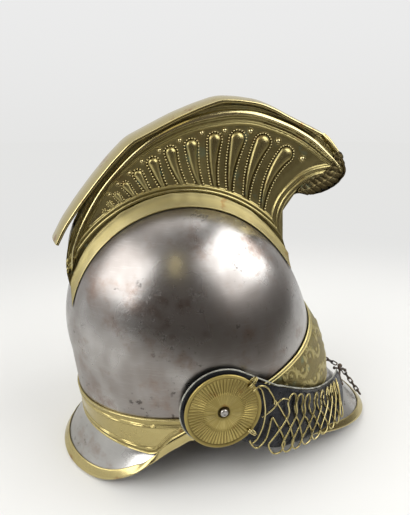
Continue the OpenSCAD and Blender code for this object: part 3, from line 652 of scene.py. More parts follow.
# Relief canvas: heights painted on a plane and read back at any point
class Canvas:
    def __init__(self, width, height, step):
        self.step = step
        self.u = np.arange(0, width + step, step)
        self.v = np.arange(0, height + step, step)
        self.h = np.zeros((len(self.v), len(self.u)))

    def paint(self, cu, cv, reach, shape):
        """Raise the canvas round a point to the heights of shape, where they are higher."""
        i0, i1 = np.searchsorted(self.u, [cu - reach, cu + reach])
        j0, j1 = np.searchsorted(self.v, [cv - reach, cv + reach])
        if i1 > i0 and j1 > j0:
            area = self.h[j0:j1, i0:i1]
            np.maximum(area, shape(*np.meshgrid(self.u[i0:i1], self.v[j0:j1])), out=area)

    def leaf(self, u, v, angle, length, width, height, curl=0.0, veins=True):
        """A lens-shaped leaf from its foot, with a midrib and side veins, bent by curl."""
        def shape(uu, vv):
            a = (uu - u) * cosd(angle) + (vv - v) * sind(angle)
            f = a / length
            b = -(uu - u) * sind(angle) + (vv - v) * cosd(angle) - curl * length * f * f
            half = 0.5 * width * np.sqrt(np.maximum(0, np.sin(np.pi * np.clip(f, 0, 1)))) * (1.15 - 0.5 * f)
            q = np.abs(b) / np.maximum(1e-3, half)
            body = height * hump(q)
            if veins:
                pitch = max(2.2, length * 0.16)
                body = body * (0.72 + 0.28 * np.abs(np.sin((a - np.abs(b) * 1.2) * 2 * np.pi / pitch)))
            body = np.where(np.abs(b) < 0.35, body * 0.72, body)
            return np.where((f > 0) & (f < 1) & (q < 1), body, 0)

        self.paint(u + 0.5 * length * cosd(angle), v + 0.5 * length * sind(angle), length, shape)

    def button(self, u, v, radius, height):
        self.paint(u, v, radius * 1.1, lambda uu, vv: height * hump(np.hypot(uu - u, vv - v) / radius))

    def line(self, points, radius, height):
        for ends in zip(arr(points[:-1]), arr(points[1:])):
            self.paint(*sum(ends) / 2, np.hypot(*(ends[1] - ends[0])) / 2 + radius * 1.3,
                       lambda uu, vv: height * hump(polyline_distance(uu, vv, ends)[0] / radius))

    def flower(self, u, v, radius, petals, height):
        for k in range(petals):
            self.leaf(u, v, 360 / petals * (k + 0.5), radius, radius * 0.75, height, veins=False)
        self.button(u, v, radius * 0.3, height * 1.25)

    def scroll(self, u, v, radius, start, sense, stem, height):
        """A curling branch with leaves on both sides, round a flower."""
        spots = [(radius * (1 - 0.25 * f), start + sense * 195 * f) for f in np.linspace(0, 1, 30)]
        self.line([(u + r * cosd(a), v + r * sind(a)) for r, a in spots], stem, height * 0.75)
        for k in range(1, len(spots), 4):
            r, a = spots[k]
            foot = u + r * cosd(a), v + r * sind(a)
            size = radius * (0.78 - 0.011 * k)
            self.leaf(*foot, a + sense * 48, size, size * 0.6, height, curl=0.3 * sense)
            self.leaf(*foot, a + sense * 140, size * 0.75, size * 0.42, height * 0.85, curl=-0.3 * sense)
        self.flower(u, v, radius * 0.36, 5, height)

    def read(self, u, v):
        """Height at any point, blended from the four nearest."""
        fu = np.clip((u - self.u[0]) / self.step, 0, len(self.u) - 1.001)
        fv = np.clip((v - self.v[0]) / self.step, 0, len(self.v) - 1.001)
        i, j = fu.astype(int), fv.astype(int)
        a, b = fu - i, fv - j
        h = self.h
        return ((1 - a) * (1 - b) * h[j, i] + a * (1 - b) * h[j, i + 1]
                + (1 - a) * b * h[j + 1, i] + a * b * h[j + 1, i + 1])


def band_grid(ts, shares, low, top):
    """Plan angles and heights between two edges, with the distance below the upper and above the lower one."""
    T, F = np.meshgrid(ts, shares)
    low, top = low(T), top(T)
    Z = low + (top - low) * F
    return T, Z, top - Z, Z - low


# Front band: a vine and a palmette on a dotted ground, with beads along the edges. The canvas starts at the
# middle of the forehead and is used on both sides.
FRONT_END = 84.375
BAND_T = 0.75
DOT_STEP = 1.9
ART_DEPTH = 0.85
VINE_Z = 72.0
VINE_CELL = 0.35
VINE_START = 26.0
VINE_TALL = BAND_LOW + BAND_RISE - RIM
band_t = np.linspace(-FRONT_END, FRONT_END, 621)
run = lengths(wall(band_t, VINE_Z))
run -= run[len(run) // 2]
vine = Canvas(run[-1] + 2, VINE_TALL + 2, VINE_CELL)
place = VINE_START
sense = 1
while place < run[-1] - 6:
    tall = float(front_top(np.interp(place, run, band_t))) - RIM
    radius = min(7.5, 0.2 * (tall - 9))
    storeys = 2 if tall > 34 else 1
    for storey in range(storeys):
        middle = 4.6 + (tall - 9) * ((storey + 0.5) / storeys - 0.04 * sense)
        turned = sense if storey % 2 == 0 else -sense
        vine.scroll(place, middle, radius, 200 if turned > 0 else 160, -turned, 0.6, 1.0)
        vine.leaf(place + radius * 1.15, middle - turned * radius * 0.5, 90 * turned, radius * 1.3, radius * 0.7, 0.9,
                  curl=-0.25 * turned)
        vine.leaf(place - radius * 0.3, middle + turned * radius * 1.2, 20, radius * 1.2, radius * 0.5, 0.8,
                  curl=-0.3 * turned)
    place += 2.0 * radius + 2.0
    sense = -sense
for k in range(-4, 5):
    vine.leaf(0.2, 20, 90 - k * 20, 44 - 3.2 * abs(k), 9.5 - 0.5 * abs(k), 1.5, curl=-0.05 * k)
vine.leaf(0, 8, 90, 14, 9, 1.4)
vine.button(0, 66, 2.4, 1.4)
for u in np.arange(1.2, run[-1], DOT_STEP):
    for v in np.arange(1.2, VINE_TALL, DOT_STEP):
        jitter = rng.uniform(-0.45, 0.45, 2)
        vine.button(u + jitter[0], v + jitter[1], 0.6, 0.36)
rows = np.concatenate([np.linspace(0, 0.08, 9), np.linspace(0.08, 0.88, 92)[1:], np.linspace(0.88, 1, 20)[1:]])
T, Z, down, up = band_grid(band_t, rows, front_rim, front_top)
art = vine.read(np.abs(np.interp(T, band_t, run)), up)
art = ART_DEPTH * art * ease(5.2, 6.2, down) * ease(3.4, 4.4, up)
edge = beads(down, (1.3, 1.3, 1.0), (4.3, 0.75, 0.7)) + beads(up, (1.2, 1.2, 0.9), (3.3, 0.6, 0.5))
level = art * ART_DEPTH + edge
band_outer = wall(T, Z, GAP + BAND_T + level + wander(wall(T, Z), 14) * 0.12)
band_inner = wall(T[::12], Z[::12], GAP)
# The tone follows the embossing: painted light on the raised vine and beads, painted shade on the ground between them
piece(shell("front_band_embossed", band_outer, band_inner, relief=0.2 + 0.52 * level), "helmet",
      chased_brass, ["front_band"])

# Rear band: plain field between beaded borders. Near the ears its lower edge clears the guard's trim.
REAR_T = 0.8
TRIM_CLEAR = 9.4


def rear_low(t):
    return rim(t) + TRIM_CLEAR * (1 - ease(110, 122, turn(t)))


T, Z, down, up = band_grid(np.linspace(95.6, 264.4, 241), np.linspace(0, 1, 61), rear_low, rear_top)
level = (beads(down, (0.9, 0.9, 0.8), (6.2, 0.8, 0.65), (8.0, 0.8, 0.65))
         + beads(up, (0.9, 0.9, 0.8), (5.0, 0.7, 0.6), (6.6, 0.7, 0.6)))
field = ease(9.0, 10.0, down) * ease(7.6, 8.6, up)
# Tone: painted light on the beads, painted shade in the grooves of the borders, and a paler plain field
relief = 0.28 + 0.3 * field + 0.5 * level + 0.1 * (down < 5)
rear_outer = wall(T, Z, GAP + REAR_T + level + wander(wall(T, Z), 17) * 0.13)
rear_inner = wall(T[::10], Z[::10], GAP)
piece(shell("rear_band_beaded", rear_outer, rear_inner, relief=relief), "helmet", plain_brass,
      ["rear_band"])


# Visor and neck guard: plates that flare from the skull's rim to a free edge
VISOR_TIP = 192.2
VISOR_DEPTH = 145.1
VISOR_HALF = 92.5
VISOR_SLOPE = 0.25
VISOR_SPREAD = 1.25
GUARD_TIP = 133.3
GUARD_DEPTH = 117.7
GUARD_HALF = 100.5
GUARD_SPREAD = 1.09
# Plan angles between which a free edge runs into the skull's rim
VISOR_JOIN = (62, 82)
GUARD_JOIN = (110, 124)


def visor_edge(t):
    e = t * VISOR_SPREAD
    x = SKULL_X + VISOR_TIP - VISOR_DEPTH * (1 - cosd(e))
    free = np.stack([x, VISOR_HALF * sind(e), 1 - VISOR_SLOPE * (x - SKULL_X - VISOR_TIP)], -1)
    k = ease(*VISOR_JOIN, np.abs(t))[..., None]
    return free * (1 - k) + (wall(t, RIM, GAP) - [0, 0, 8]) * k


def guard_edge(t):
    q = turn(t)
    e = 180 - (180 - q) * GUARD_SPREAD
    side = np.where(t > 180, -1, 1)
    x = SKULL_X - GUARD_TIP + GUARD_DEPTH * (1 + cosd(e))
    free = np.stack([x, side * GUARD_HALF * sind(e), 1 + guard_rise(x)], -1)
    k = ease(*GUARD_JOIN, q)[..., None]
    return (wall(t, rim(t)) - [0, 0, 1]) * (1 - k) + free * k


def bent_face(w, e, u, plan_power, rise_power):
    """From the rim w to the edge e by the share u, bent by the two powers."""
    u = np.asarray(u)[..., None]
    flat = w + (e - w) * u ** plan_power
    z = w[..., 2:] + (e[..., 2:] - w[..., 2:]) * u ** rise_power
    return np.concatenate([flat[..., :2], z], -1)


def visor_face(t, u):
    return bent_face(wall(t, RIM), visor_edge(t), u, 1, 0.92)


def guard_face(t, u):
    return bent_face(wall(t, rim(t)), guard_edge(t), u, 1.15, 1)


def face_up(w, e, t):
    """Normal of a plate that runs from w to e."""
    out = np.hypot(e[..., 0] - w[..., 0], e[..., 1] - w[..., 1])
    drop = w[..., 2] - e[..., 2]
    side = plan_normal(t)
    return unit(np.stack([side[..., 0] * drop, side[..., 1] * drop, out], -1))


def plate(name, ts, face, base, edge_fn, node):
    """A steel plate with a lap that stands up inside the band."""
    T, U = np.meshgrid(ts, np.linspace(1, 0, 26))
    outer = face(T, U)
    at_rim = (U <= 0.001)[..., None]
    normal = np.where(at_rim, plan_normal(T), face_up(wall(T, base(T)), edge_fn(T), T))
    outer = outer + normal * (wander(outer, 30) * 0.18 * ease(0, 0.3, 1 - U) * ease(0, 0.2, U))[..., None]
    laps = [LAP / 3, LAP * 2 / 3, LAP]
    lap_out, lap_in = (np.array([wall(ts, base(ts) + h, off) for h in laps]) for off in (0, -STEEL_T))
    mesh = shell(name, np.concatenate([outer, lap_out]), np.concatenate([outer - normal * STEEL_T, lap_in]))
    piece(mesh, "helmet", bright_steel, [node])


plate("visor_plate", np.linspace(-FRONT_END, FRONT_END, 181), visor_face, front_rim, visor_edge, "visor")
plate("neck_guard_plate", np.linspace(118.125, 241.875, 141), guard_face, rim, guard_edge, "neck_guard")

# Folded trim, rounded over its edge and turned back below
TRIM_TOP = 1.05
TRIM_T = 0.8
TRIM_WIDTH = 9.0
TRIM_CROWN = 7
TRIM_TURNS = 9


def trim(name, edge, inward, upn, width, node):
    under = STEEL_T + GAP
    fold = (TRIM_TOP + under + TRIM_T) / 2
    profile = [(width, 0.3), (width, TRIM_TOP * 0.75), (width - 0.5, TRIM_TOP)]
    for f in np.arange(1, TRIM_CROWN) / TRIM_CROWN:
        profile.append((width + (0.6 - width) * f, TRIM_TOP + 0.12 * math.sin(math.pi * f)))
    for a in np.linspace(0, math.pi, TRIM_TURNS):
        profile.append((0.25 - 1.15 * math.sin(a), TRIM_TOP - fold + fold * math.cos(a)))
    profile += [(width * 0.6, -under - TRIM_T), (width * 0.6, -under), (0.3, -under), (0.3, 0.3)]
    ring = np.array([edge + inward * np.reshape(a, (-1, 1)) + upn * b for a, b in profile]).transpose(1, 0, 2)
    ring = ring + unit(upn)[:, None, :] * (wander(ring, 16) * 0.1)[..., None]
    ring[..., 2] = np.maximum(ring[..., 2], 0.0)
    n, k = ring.shape[:2]
    # Tone: painted shade where the trim meets the plate and on its underside, painted light on the rounded fold
    tone = np.concatenate([[0.1, 0.25, 0.55], np.full(TRIM_CROWN - 1, 0.62), np.full(TRIM_TURNS, 0.75), [0.3] * 4])
    mesh = make_mesh(name, ring.reshape(-1, 3), strip_quads(n, k, 0, True), end_faces(n, k), np.tile(tone, n), 55)
    piece(mesh, "helmet", plain_brass, [node])


ts = np.linspace(-78.75, 78.75, 161)
e = visor_edge(ts)
inward = unit(visor_face(ts, np.full_like(ts, 0.9)) - e)
width = np.minimum(TRIM_WIDTH, 0.8 * np.linalg.norm(wall(ts, RIM) - e, axis=1))
trim("visor_trim_fold", e, inward, face_up(wall(ts, RIM), e, ts), width, "visor_trim")

# Near the ears the guard's trim hugs the skull, and its width stands upright
HUG, FREE = 112, 124
ts = np.linspace(101.25, 258.75, 201)
e = guard_edge(ts)
far = wall(ts, rim(ts))
free = ease(HUG, FREE, turn(ts))
k = free[:, None]
inward = unit(np.array([0, 0, 1.0]) * (1 - k) + unit(guard_face(ts, np.full_like(ts, 0.7)) - e) * k)
upn = unit(plan_normal(ts) * (1 - k) + face_up(far, e, ts) * k)
width = TRIM_WIDTH * (1 - free) + np.minimum(TRIM_WIDTH, 0.45 * np.linalg.norm(e - far, axis=1)) * free
trim("neck_guard_trim_fold", e, inward, upn, np.maximum(width, 4.5), "neck_guard_trim")

# Crest sides: outline and embossing in the plane of the plate
rear_edge = spline([(-143.5, 168), (-145, 178), (-145, 190), (-142, 205), (-137, 218)], 8)
top_edge = spline([(-137, 218), (-115.2, 253.4), (-84.3, 286.2), (-47, 306.8), (-5.5, 321), (22.5, 320), (39, 315),
                   (53, 308.5), (69, 301.5), (85.5, 294), (92, 288.5), (99.5, 280.5), (106, 272.5), (110.5, 264.5),
                   (112, 259)], 8)
right_edge = spline([(60, 180), (54, 196), (51, 210), (51.5, 222), (54.9, 231.2), (59.5, 237.3), (64.1, 242),
                     (72, 248.5), (80, 252.5), (88, 254.5), (96, 255.5), (104, 257), (112, 259)], 6)
foot_x = np.linspace(-143.5, 60, 120)
foot_line = np.stack([foot_x, skull_z(foot_x, np.full_like(foot_x, CREST_Y)) + 2.5], -1)
foot_line[0] = rear_edge[0]
foot_line[-1] = right_edge[0]
# Its ends run straight into the corners
BLEND = 8
for k in range(1, BLEND):
    f = k / BLEND
    foot_line[k] = foot_line[k] * f + (foot_line[0] + (foot_line[BLEND] - foot_line[0]) * f) * (1 - f)
    last = foot_line[-1] + (foot_line[-1 - BLEND] - foot_line[-1]) * f
    foot_line[-1 - k] = foot_line[-1 - k] * f + last * (1 - f)

COLS, ROWS = 461, 171
bottom, upper = even(foot_line, COLS), even(top_edge, COLS)
left, right = even(rear_edge, ROWS), even(right_edge, ROWS)
U, V = np.meshgrid(np.linspace(0, 1, COLS), np.linspace(0, 1, ROWS))
U, V = U[..., None], V[..., None]
patch = ((1 - V) * bottom[None] + V * upper[None] + (1 - U) * left[:, None] + U * right[:, None]
         - (1 - U) * (1 - V) * bottom[0] - U * (1 - V) * bottom[-1] - (1 - U) * V * upper[0] - U * V * upper[-1])
PX, PZ = patch[..., 0], patch[..., 1]

# The thick roll's middle line, and how the mouldings beside it widen and narrow along it
guide = spline([(-139.3, 160), (-141, 178), (-140.9, 190), (-138, 204), (-129, 224.5), (-113.5, 249.5), (-95.4, 269.6),
                (-79, 284), (-60.8, 295.8), (-37, 306), (-12, 311.8), (8, 313.2), (27.7, 310.8), (52.7, 302.5),
                (68, 295.3), (79.7, 288.3), (93.1, 277.4), (105, 266.2), (110, 259)], 8)
guide_run = lengths(guide) / lengths(guide)[-1]
guide_way = unit(np.gradient(guide, axis=0))
width_at = [-139, -95, -61, -12, 28, 53, 80, 93, 105, 112]
width_in = [0.5, 0.55, 0.86, 1.03, 0.98, 0.93, 0.9, 0.72, 0.42, 0.3]
width_out = [0.35, 0.35, 0.5, 1.0, 0.86, 0.78, 0.7, 0.6, 0.42, 0.3]


def roll_distance(px, pz):
    """Distance inward from the roll's middle line, with the local widths divided out."""
    dist, at = polyline_distance(px, pz, guide[::2])
    gx, gz, wx, wz = (np.interp(at, guide_run, c) for c in (*guide.T, *guide_way.T))
    inner = (px - gx) * wz - (pz - gz) * wx > 0
    return np.where(inner, dist / np.interp(gx, width_at, width_in), -dist / np.interp(gx, width_at, width_out))


def low_distance(px, pz, skip):
    """Distance inward from the foot and the front edge, with the widths of their ribs divided out."""
    to_foot, _ = polyline_distance(px, pz, foot_line[::skip])
    to_front, _ = polyline_distance(px, pz, right_edge[::skip])
    return np.minimum((to_foot - 6.3) / 0.85, to_front / 1.35)


n_roll = roll_distance(PX, PZ)
n_low = low_distance(PX, PZ, 2)
# The roll peaks near its inner side, with a long fall outward
ROLL_PEAK = 3.2
ROLL_H = 3.0
ROLL_R = 6.0
roll = np.where(n_roll < ROLL_PEAK, np.sqrt(np.maximum(0, ROLL_R ** 2 - (ROLL_PEAK - n_roll) ** 2)) - ROLL_H,
                bead(n_roll, ROLL_PEAK, 0.9, ROLL_H))
moulding = np.maximum(roll, 0) + beads(n_roll, (-4.3, 0.6, 0.5), (-7.2, 0.95, 1.5), (4.9, 1.0, 1.0), (8.3, 0.9, 1.1),
                                       (10.2, 0.75, 0.8))
ribs = beads(n_low, (2.2, 1.7, 1.5), (6.0, 1.4, 1.2))
ground = -0.8 * ease(11.0, 12.0, n_roll) * ease(7.2, 8.6, n_low)
mould_h = np.where(n_roll < 11.2, moulding, 0)
mould_h = np.maximum(mould_h * ease(-1.0, 1.5, n_low + 2), ribs)
in_panel = (n_roll > 11.4) & (n_low > 7.8)

# Gadroons from the front to the rear: radius of the head, its middle, the tail's end, and how both lean
radii = [9.0, 9.3, 8.8, 7.6, 7.0, 6.6, 6.2, 5.2, 4.4, 3.6, 2.9, 2.3, 2.0]
heads = [(52.4, 275.9), (29.8, 286.4), (6.6, 289.8), (-14.1, 289.4), (-34.5, 284.8), (-52.4, 279.5), (-67.6, 271.2),
         (-80.6, 261.9), (-91.4, 253.1), (-99.2, 245.0), (-105.6, 238.2), (-110.2, 232.3), (-119.7, 221.3)]
tails = [(31.7, 225), (16.5, 232), (1.2, 240), (-11.5, 243), (-23.8, 244), (-36.5, 243), (-53.5, 243),
         (-66.7, 240.7), (-78.5, 237.8), (-89.8, 233.5), (-97.2, 230.3), (-104.1, 226.3), (-112.5, 214.5)]
head_lean = [-47, -30, -15, -8, 2, 10, 20, 30, 35, 40, 45, 50, 55]
tail_lean = [0, 5, 10, 17, 27, 35, 45, 50, 53, 54, 55, 56, 57]
# Share of a gadroon's width that its lobe fills at the head; a line of pearls stands in the border
LOBE_SHARE = 0.68
FULL_R = 6.5
TAIL_HALF = 3.0


def gadroon_half(r, s):
    """Half width of a gadroon with its border, at the share s of its length."""
    return r + (TAIL_HALF * min(1, r / FULL_R) - r) * s ** 0.9


def gadroon_line(head, tail, head_turn, tail_turn):
    """Curve from head to tail that leaves and arrives at the given leans from the vertical."""
    a, b = arr(head), arr(tail)
    size = np.linalg.norm(b - a)
    leave, arrive = (np.array([sind(t), -cosd(t)]) * size for t in (head_turn, tail_turn))
    f = np.linspace(0, 1, 25)[:, None]
    return (a * (2 * f ** 3 - 3 * f ** 2 + 1) + leave * (f ** 3 - 2 * f ** 2 + f)
            + b * (-2 * f ** 3 + 3 * f ** 2) + arrive * (f ** 3 - f ** 2))


gadroons = [(gadroon_line(*ends), r) for r, *ends in zip(radii, heads, tails, head_lean, tail_lean)]
best_q = np.full(PX.shape, 9.0)
lobe_size = np.ones(PX.shape)
lobe_edge = np.full(PX.shape, 0.6)
for line, r in gadroons:
    dist, along = polyline_distance(PX, PZ, line)
    half = gadroon_half(r, along)
    q = dist / half
    near = q < best_q
    lobe_edge = np.where(near, LOBE_SHARE - 0.5 * along, lobe_edge)
    best_q = np.where(near, q, best_q)
    lobe_size = np.where(near, np.minimum(half, FULL_R), lobe_size)
lobe = 0.38 * lobe_size * (lobe_edge / LOBE_SHARE) ** 0.5 * hump(best_q / lobe_edge)
cord = 0.03 * lobe_size * hump((best_q - 0.88) / 0.13)
panel = np.where(in_panel, lobe + cord, 0) * ease(11.2, 12.2, n_roll) * ease(7.6, 8.8, n_low)
crest_h = mould_h + ground + panel
# Tone: painted light on what stands out and on the ground near the foot and the rear; painted shade in the grooves,
# round the lobes, on the flat strips among the mouldings and along the foot
shadow = 0.34 + 0.14 * crest_h
shadow = np.where(in_panel & (best_q > lobe_edge), 0.06, shadow)
shadow = np.where(in_panel & (best_q >= 1.0), 0.24 + 0.2 * ease(16.0, 9.0, n_low) + 0.14 * ease(0, -90, PX), shadow)
shadow = np.where((n_roll < 11.4) & (mould_h < 0.25), 0.24, shadow)
shadow -= 0.25 * ease(5.4, 6.2, n_roll) * ease(8.0, 7.2, n_roll) * (PX > 30)
shadow -= 0.3 * (n_low < 0.3)

GROUND_Y = 20.6
BACK_Y = 19.3
hammer = wander(upright(patch, 20), 13) * 0.15 * (n_roll < 6)
for side, name in SIDES:
    face = upright(patch, side * (GROUND_Y + crest_h + hammer))
    back = upright(patch[::34], side * BACK_Y)
    piece(shell("crest_side_embossed_" + name, face, back, relief=shadow, sharp=70), "helmet", brass,
          ["crest_side_" + name])


# Pearls round the gadroons and bosses between their heads
def pearl_fits(p, own):
    """Whether a pearl lies inside the panel and clear of the other gadroons."""
    px, pz = arr([p[0]]), arr([p[1]])
    if roll_distance(px, pz)[0] < 12.0 or low_distance(px, pz, 4)[0] < 8.6:
        return False
    for g, (line, r) in enumerate(gadroons):
        dist, along = polyline_distance(px, pz, line[::3])
        if g != own and dist[0] / gadroon_half(r, along[0]) < 0.86:
            return False
    return True


OUTWARD = [0, -1, 0]
LARGE = 5
STEPS = 61
dots = []
for g, (line, r) in enumerate(gadroons):
    centre = even(line, STEPS)
    half = gadroon_half(r, np.linspace(0, 1, STEPS)) * 0.89
    along = unit(np.gradient(centre, axis=0))
    across = np.stack([-along[:, 1], along[:, 0]], -1)
    arc = np.linspace(90, 270, 25)[:, None]
    cap = centre[0] + half[0] * (along[0] * cosd(arc) + across[0] * sind(arc))
    ring = np.concatenate([(centre + across * half[:, None])[::-1], cap[1:-1], centre - across * half[:, None]])
    step, size = (2.4, 0.95) if r > LARGE else (2.0, 0.75)
    for p in even(ring, int(lengths(ring)[-1] / step)):
        if pearl_fits(p, g):
            dots.append(dome_parts(upright(p, 0.75 - GROUND_Y), OUTWARD, size, size * 1.3, 8, 3))
bosses = [(68.9, 271.9), (44.5, 287.8), (18.3, 296.4), (-5.2, 297.2), (-25.5, 295.3), (-44.7, 289.4), (-62.2, 281.4),
          (-77.2, 272.7), (-88.1, 263.4), (-98.1, 254.5), (-105.5, 246.0)]
for k, p in enumerate(bosses):
    size = 2.5 * (1 - 0.05 * k)
    centre = upright(p, 1.1 - GROUND_Y)
    dots.append(dome_parts(centre, OUTWARD, size, size * 0.95, 20, 5))
    for a in np.arange(0, 360, 30):
        dots.append(dome_parts(centre + np.array([cosd(a), 0, sind(a)]) * (size + 0.75), OUTWARD, 0.42, 0.7, 6, 2))
for side, parts in both_sides(dots):
    merged_piece("crest_pearls_" + side, parts, "helmet", brass, tone=0.8, sharp=60)


# Crest feet: coved strips that spread onto the skull, as distances from the side plate and heights over the skull
FOOT_CLEAR = 0.5
foot_outside = [(1.1, 8.6), (1.35, 8.35), (1.75, 7.0), (2.5, 5.6), (3.6, 4.3), (4.9, 3.2), (6.3, 2.3), (7.7, 1.6),
                (8.9, 1.2), (9.05, 0.7)]
foot_inside = [(0.1, 8.6), (0.1, 3.0), (1.0, 0.6), (4.5, 0.25), (8.9, 0.1)]
# Tone across the foot, low at its edge on the skull: painted shade
foot_tones = [0.5, 0.62, 0.6, 0.58, 0.55, 0.6, 0.66, 0.7, 0.6, 0.25]


def foot_rows(profile, side, wavy):
    xs = np.linspace(-143, 59.5, 220)
    rows = []
    for a, h in profile:
        y = np.full_like(xs, CREST_Y + GAP + a)
        base = skull_z(xs, y, FOOT_CLEAR)
        at = np.stack([xs, y, base], -1)
        wave = 1 + 0.1 * wander(at, 12) + 0.07 * wander(at, 4) if wavy else 1
        rows.append(np.stack([xs, y * side, base + h * wave], -1))
    return np.array(rows)


for side, name in SIDES:
    face = foot_rows(foot_outside, side, True)
    tone = np.repeat(arr(foot_tones)[:, None], face.shape[1], 1)
    piece(shell("crest_foot_cove_" + name, face, foot_rows(foot_inside, side, False), relief=tone), "helmet",
          satin_brass, ["crest_foot_" + name])

# Cover: bent sheet with rolled edges, kinked where it was dented
cover_line = [(-151.6, 206.8), (-143.5, 221.5), (-131, 238.5), (-116, 257), (-101.5, 273.5), (-86.2, 288.2),
              (-69, 296.5), (-46, 307.8), (-28, 315.2), (-8.5, 321.6), (8, 321.3), (26, 319.2), (40, 314.3),
              (54, 307.6), (69.5, 300.8), (85.2, 293.8)]
cover_path = even(round_corners(cover_line, 3.0), 301)
COVER_HALF = 23.4
COVER_BULGE = 3.9


def plane_normal(path):
    along = unit(np.gradient(path, axis=0))
    return np.stack([-along[:, 1], along[:, 0]], -1)


def swept(path, section):
    """Rows along a path in the crest's plane, one for each (side, height over the path) of the section."""
    normal = plane_normal(path)
    return np.array([upright(path + normal * h, y) for y, h in section])


def bulged(half, base, steps):
    return [(half * k / steps, base + COVER_BULGE * (1 - abs(k / steps) ** 2.2)) for k in range(-steps, steps + 1)]


lip = [(0.55, 0.45), (0.95, 0.1), (1.15, -0.5), (1.1, -1.2), (0.8, -1.9), (0.3, -2.3)]
lip_inside = [(22.8, -0.5), (23.0, -1.2), (23.1, -2.3)]
outer_section = ([(-COVER_HALF - a, b) for a, b in lip[::-1]] + bulged(COVER_HALF - 0.2, 0.6, 16)
                 + [(COVER_HALF + a, b) for a, b in lip])
inner_section = [(-a, b) for a, b in lip_inside[::-1]] + bulged(22.4, -0.45, 8) + lip_inside
face = swept(cover_path, outer_section)
dent = wander(face, 21) * 0.22
face[..., ::2] += plane_normal(cover_path)[None] * dent[..., None]
# Tone: painted shade under the rolled lips, painted light on their round
tone = np.full(face.shape[:2], 0.6)
lip_tone = np.array([0.12, 0.35, 0.7, 0.85, 0.85, 0.75])[:, None]
tone[:6], tone[-6:] = lip_tone, lip_tone[::-1]
piece(shell("crest_cover_rolled", face, swept(cover_path, inner_section), relief=tone), "helmet",
      plain_brass, ["crest_cover"])

# Cap on the crest's nose: a leafy palmette with curled side flaps
CAP_HALF = 22.4
FLAP_Y = 20.9
FLAP_LOBES = 11
PALM_HALF, PALM_LENGTH = 22.5, 62
NOSE_CUTS, FLAP_CUTS = 161, 181
nose_path = smooth([(87.5, 292.2), (92.0, 288.5), (99.5, 280.5), (106.0, 272.5), (110.5, 264.5), (112.0, 258.5),
                    (108.5, 252.5), (101.5, 246.0), (89.5, 241.0), (78.5, 239.0)], NOSE_CUTS)
S, W = np.meshgrid(np.linspace(0, 1, NOSE_CUTS), np.linspace(-1, 1, 121), indexing="ij")


def on_nose(skip, across, out):
    at, normal = nose_path[::skip, None], plane_normal(nose_path)[::skip, None]
    return upright(at + normal * out[..., None], across)


leaf_angle = np.arctan2(W * PALM_HALF, (0.5 - S) * PALM_LENGTH)
radial = np.hypot(W * PALM_HALF, (0.5 - S) * PALM_LENGTH)
lobes = np.abs(np.cos(leaf_angle * 5.5)) ** 0.6
palmette = 0.7 * lobes * ease(3, 9, radial) * (1 - ease(15, 27, radial))
palmette = (palmette + beads(radial, (0, 4.6, 1.6), (6.5, 0.9, 0.7))) * ease(0.84, 0.76, np.abs(W))
border = 1.1 * ease(0.8, 0.86, np.abs(W)) * ease(0.75, 0.55, S)
swell = 4.4 * np.sin(np.pi * S) * (1 - W ** 2)
crumple = 0.35 * wander(np.stack([S * 60, W * 22, S * 0], -1), 3.0) * ease(0.35, 0.6, S)
ragged = CAP_HALF - 0.5 * np.abs(np.sin(S * 40)) * ease(0.35, 0.6, S)
face = on_nose(1, W * ragged, 0.5 + swell + palmette * ease(0.25, 0.5, S) + border + crumple)
back_s, back_w = S[::16], W[::16]
back = on_nose(16, back_w * (CAP_HALF - 0.2), 0.15 + 3.5 * np.sin(np.pi * back_s) * (1 - back_w ** 2))
cap_parts = [shell_parts(face, back)]
flap_edge = smooth([(108.3, 276.5), (111.3, 268.9), (112.9, 262), (111, 256.5), (106.3, 249.5), (101.5, 246.2),
                    (94.3, 243.4), (89.8, 241.8), (84.2, 239.6), (79.8, 238.2), (73.5, 239.6), (66.5, 241.3)],
                   FLAP_CUTS)
flap_in = smooth([(101.5, 279), (99.5, 271), (96.5, 264), (91.5, 259.8), (85.5, 257.4), (79.5, 255), (74.5, 252),
                  (70, 248.6), (66.8, 245.4), (65.0, 242.6)], FLAP_CUTS)
f = np.linspace(0, 1, 49)[:, None, None]
depth = f[..., 0]
along = np.linspace(0, 1, FLAP_CUTS)[None]
lobes = np.abs(np.sin(math.pi * (along * FLAP_LOBES - depth * 0.9)))
veins = 0.7 + 0.3 * np.abs(np.sin(math.pi * (along * 5 * FLAP_LOBES - depth * 4.5)))
curls = lobes ** 0.7 * veins * np.sin(np.pi * np.clip(depth, 0.02, 0.98)) ** 0.5
flap_h = 0.4 + 0.95 * curls + beads(depth, (0.93, 0.07, 0.6), (0.5, 0.05, 0.5))
ragged = 1.6 * (1 - np.abs(np.sin(math.pi * along * FLAP_LOBES))) * (1 - depth) ** 4
flap = flap_edge[None] * (1 - f) + flap_in[None] * f + (flap_in - flap_edge)[None] * (ragged / 12)[..., None]
flap_back = flap[::8]
for side in (-1, 1):
    cap_parts.append(shell_parts(upright(flap, side * (FLAP_Y + 0.4 + flap_h)), upright(flap_back, side * FLAP_Y)))
# Tone: painted light on the palmette, the border and the upper part of the nose; painted shade lower down, on the
# backs and in the flaps' hollows
rim_tone = ease(0.8, 0.86, np.abs(W)) * ease(0.62, 0.5, S)
face_tone = 0.1 + (0.24 * palmette + 0.5 * ease(0.42, 0.2, S)) * (1 - rim_tone) + 0.85 * rim_tone
flap_tone = [np.ravel(0.3 * flap_h - 0.06), np.full(flap_back[..., 0].size, 0.1)]
tone = np.concatenate([np.ravel(face_tone), np.full(back[..., 0].size, 0.1)] + flap_tone * 2)
merged_piece("crest_cap_palmette", cap_parts, "helmet", dark_brass, ["crest_mask"], tone, 60)

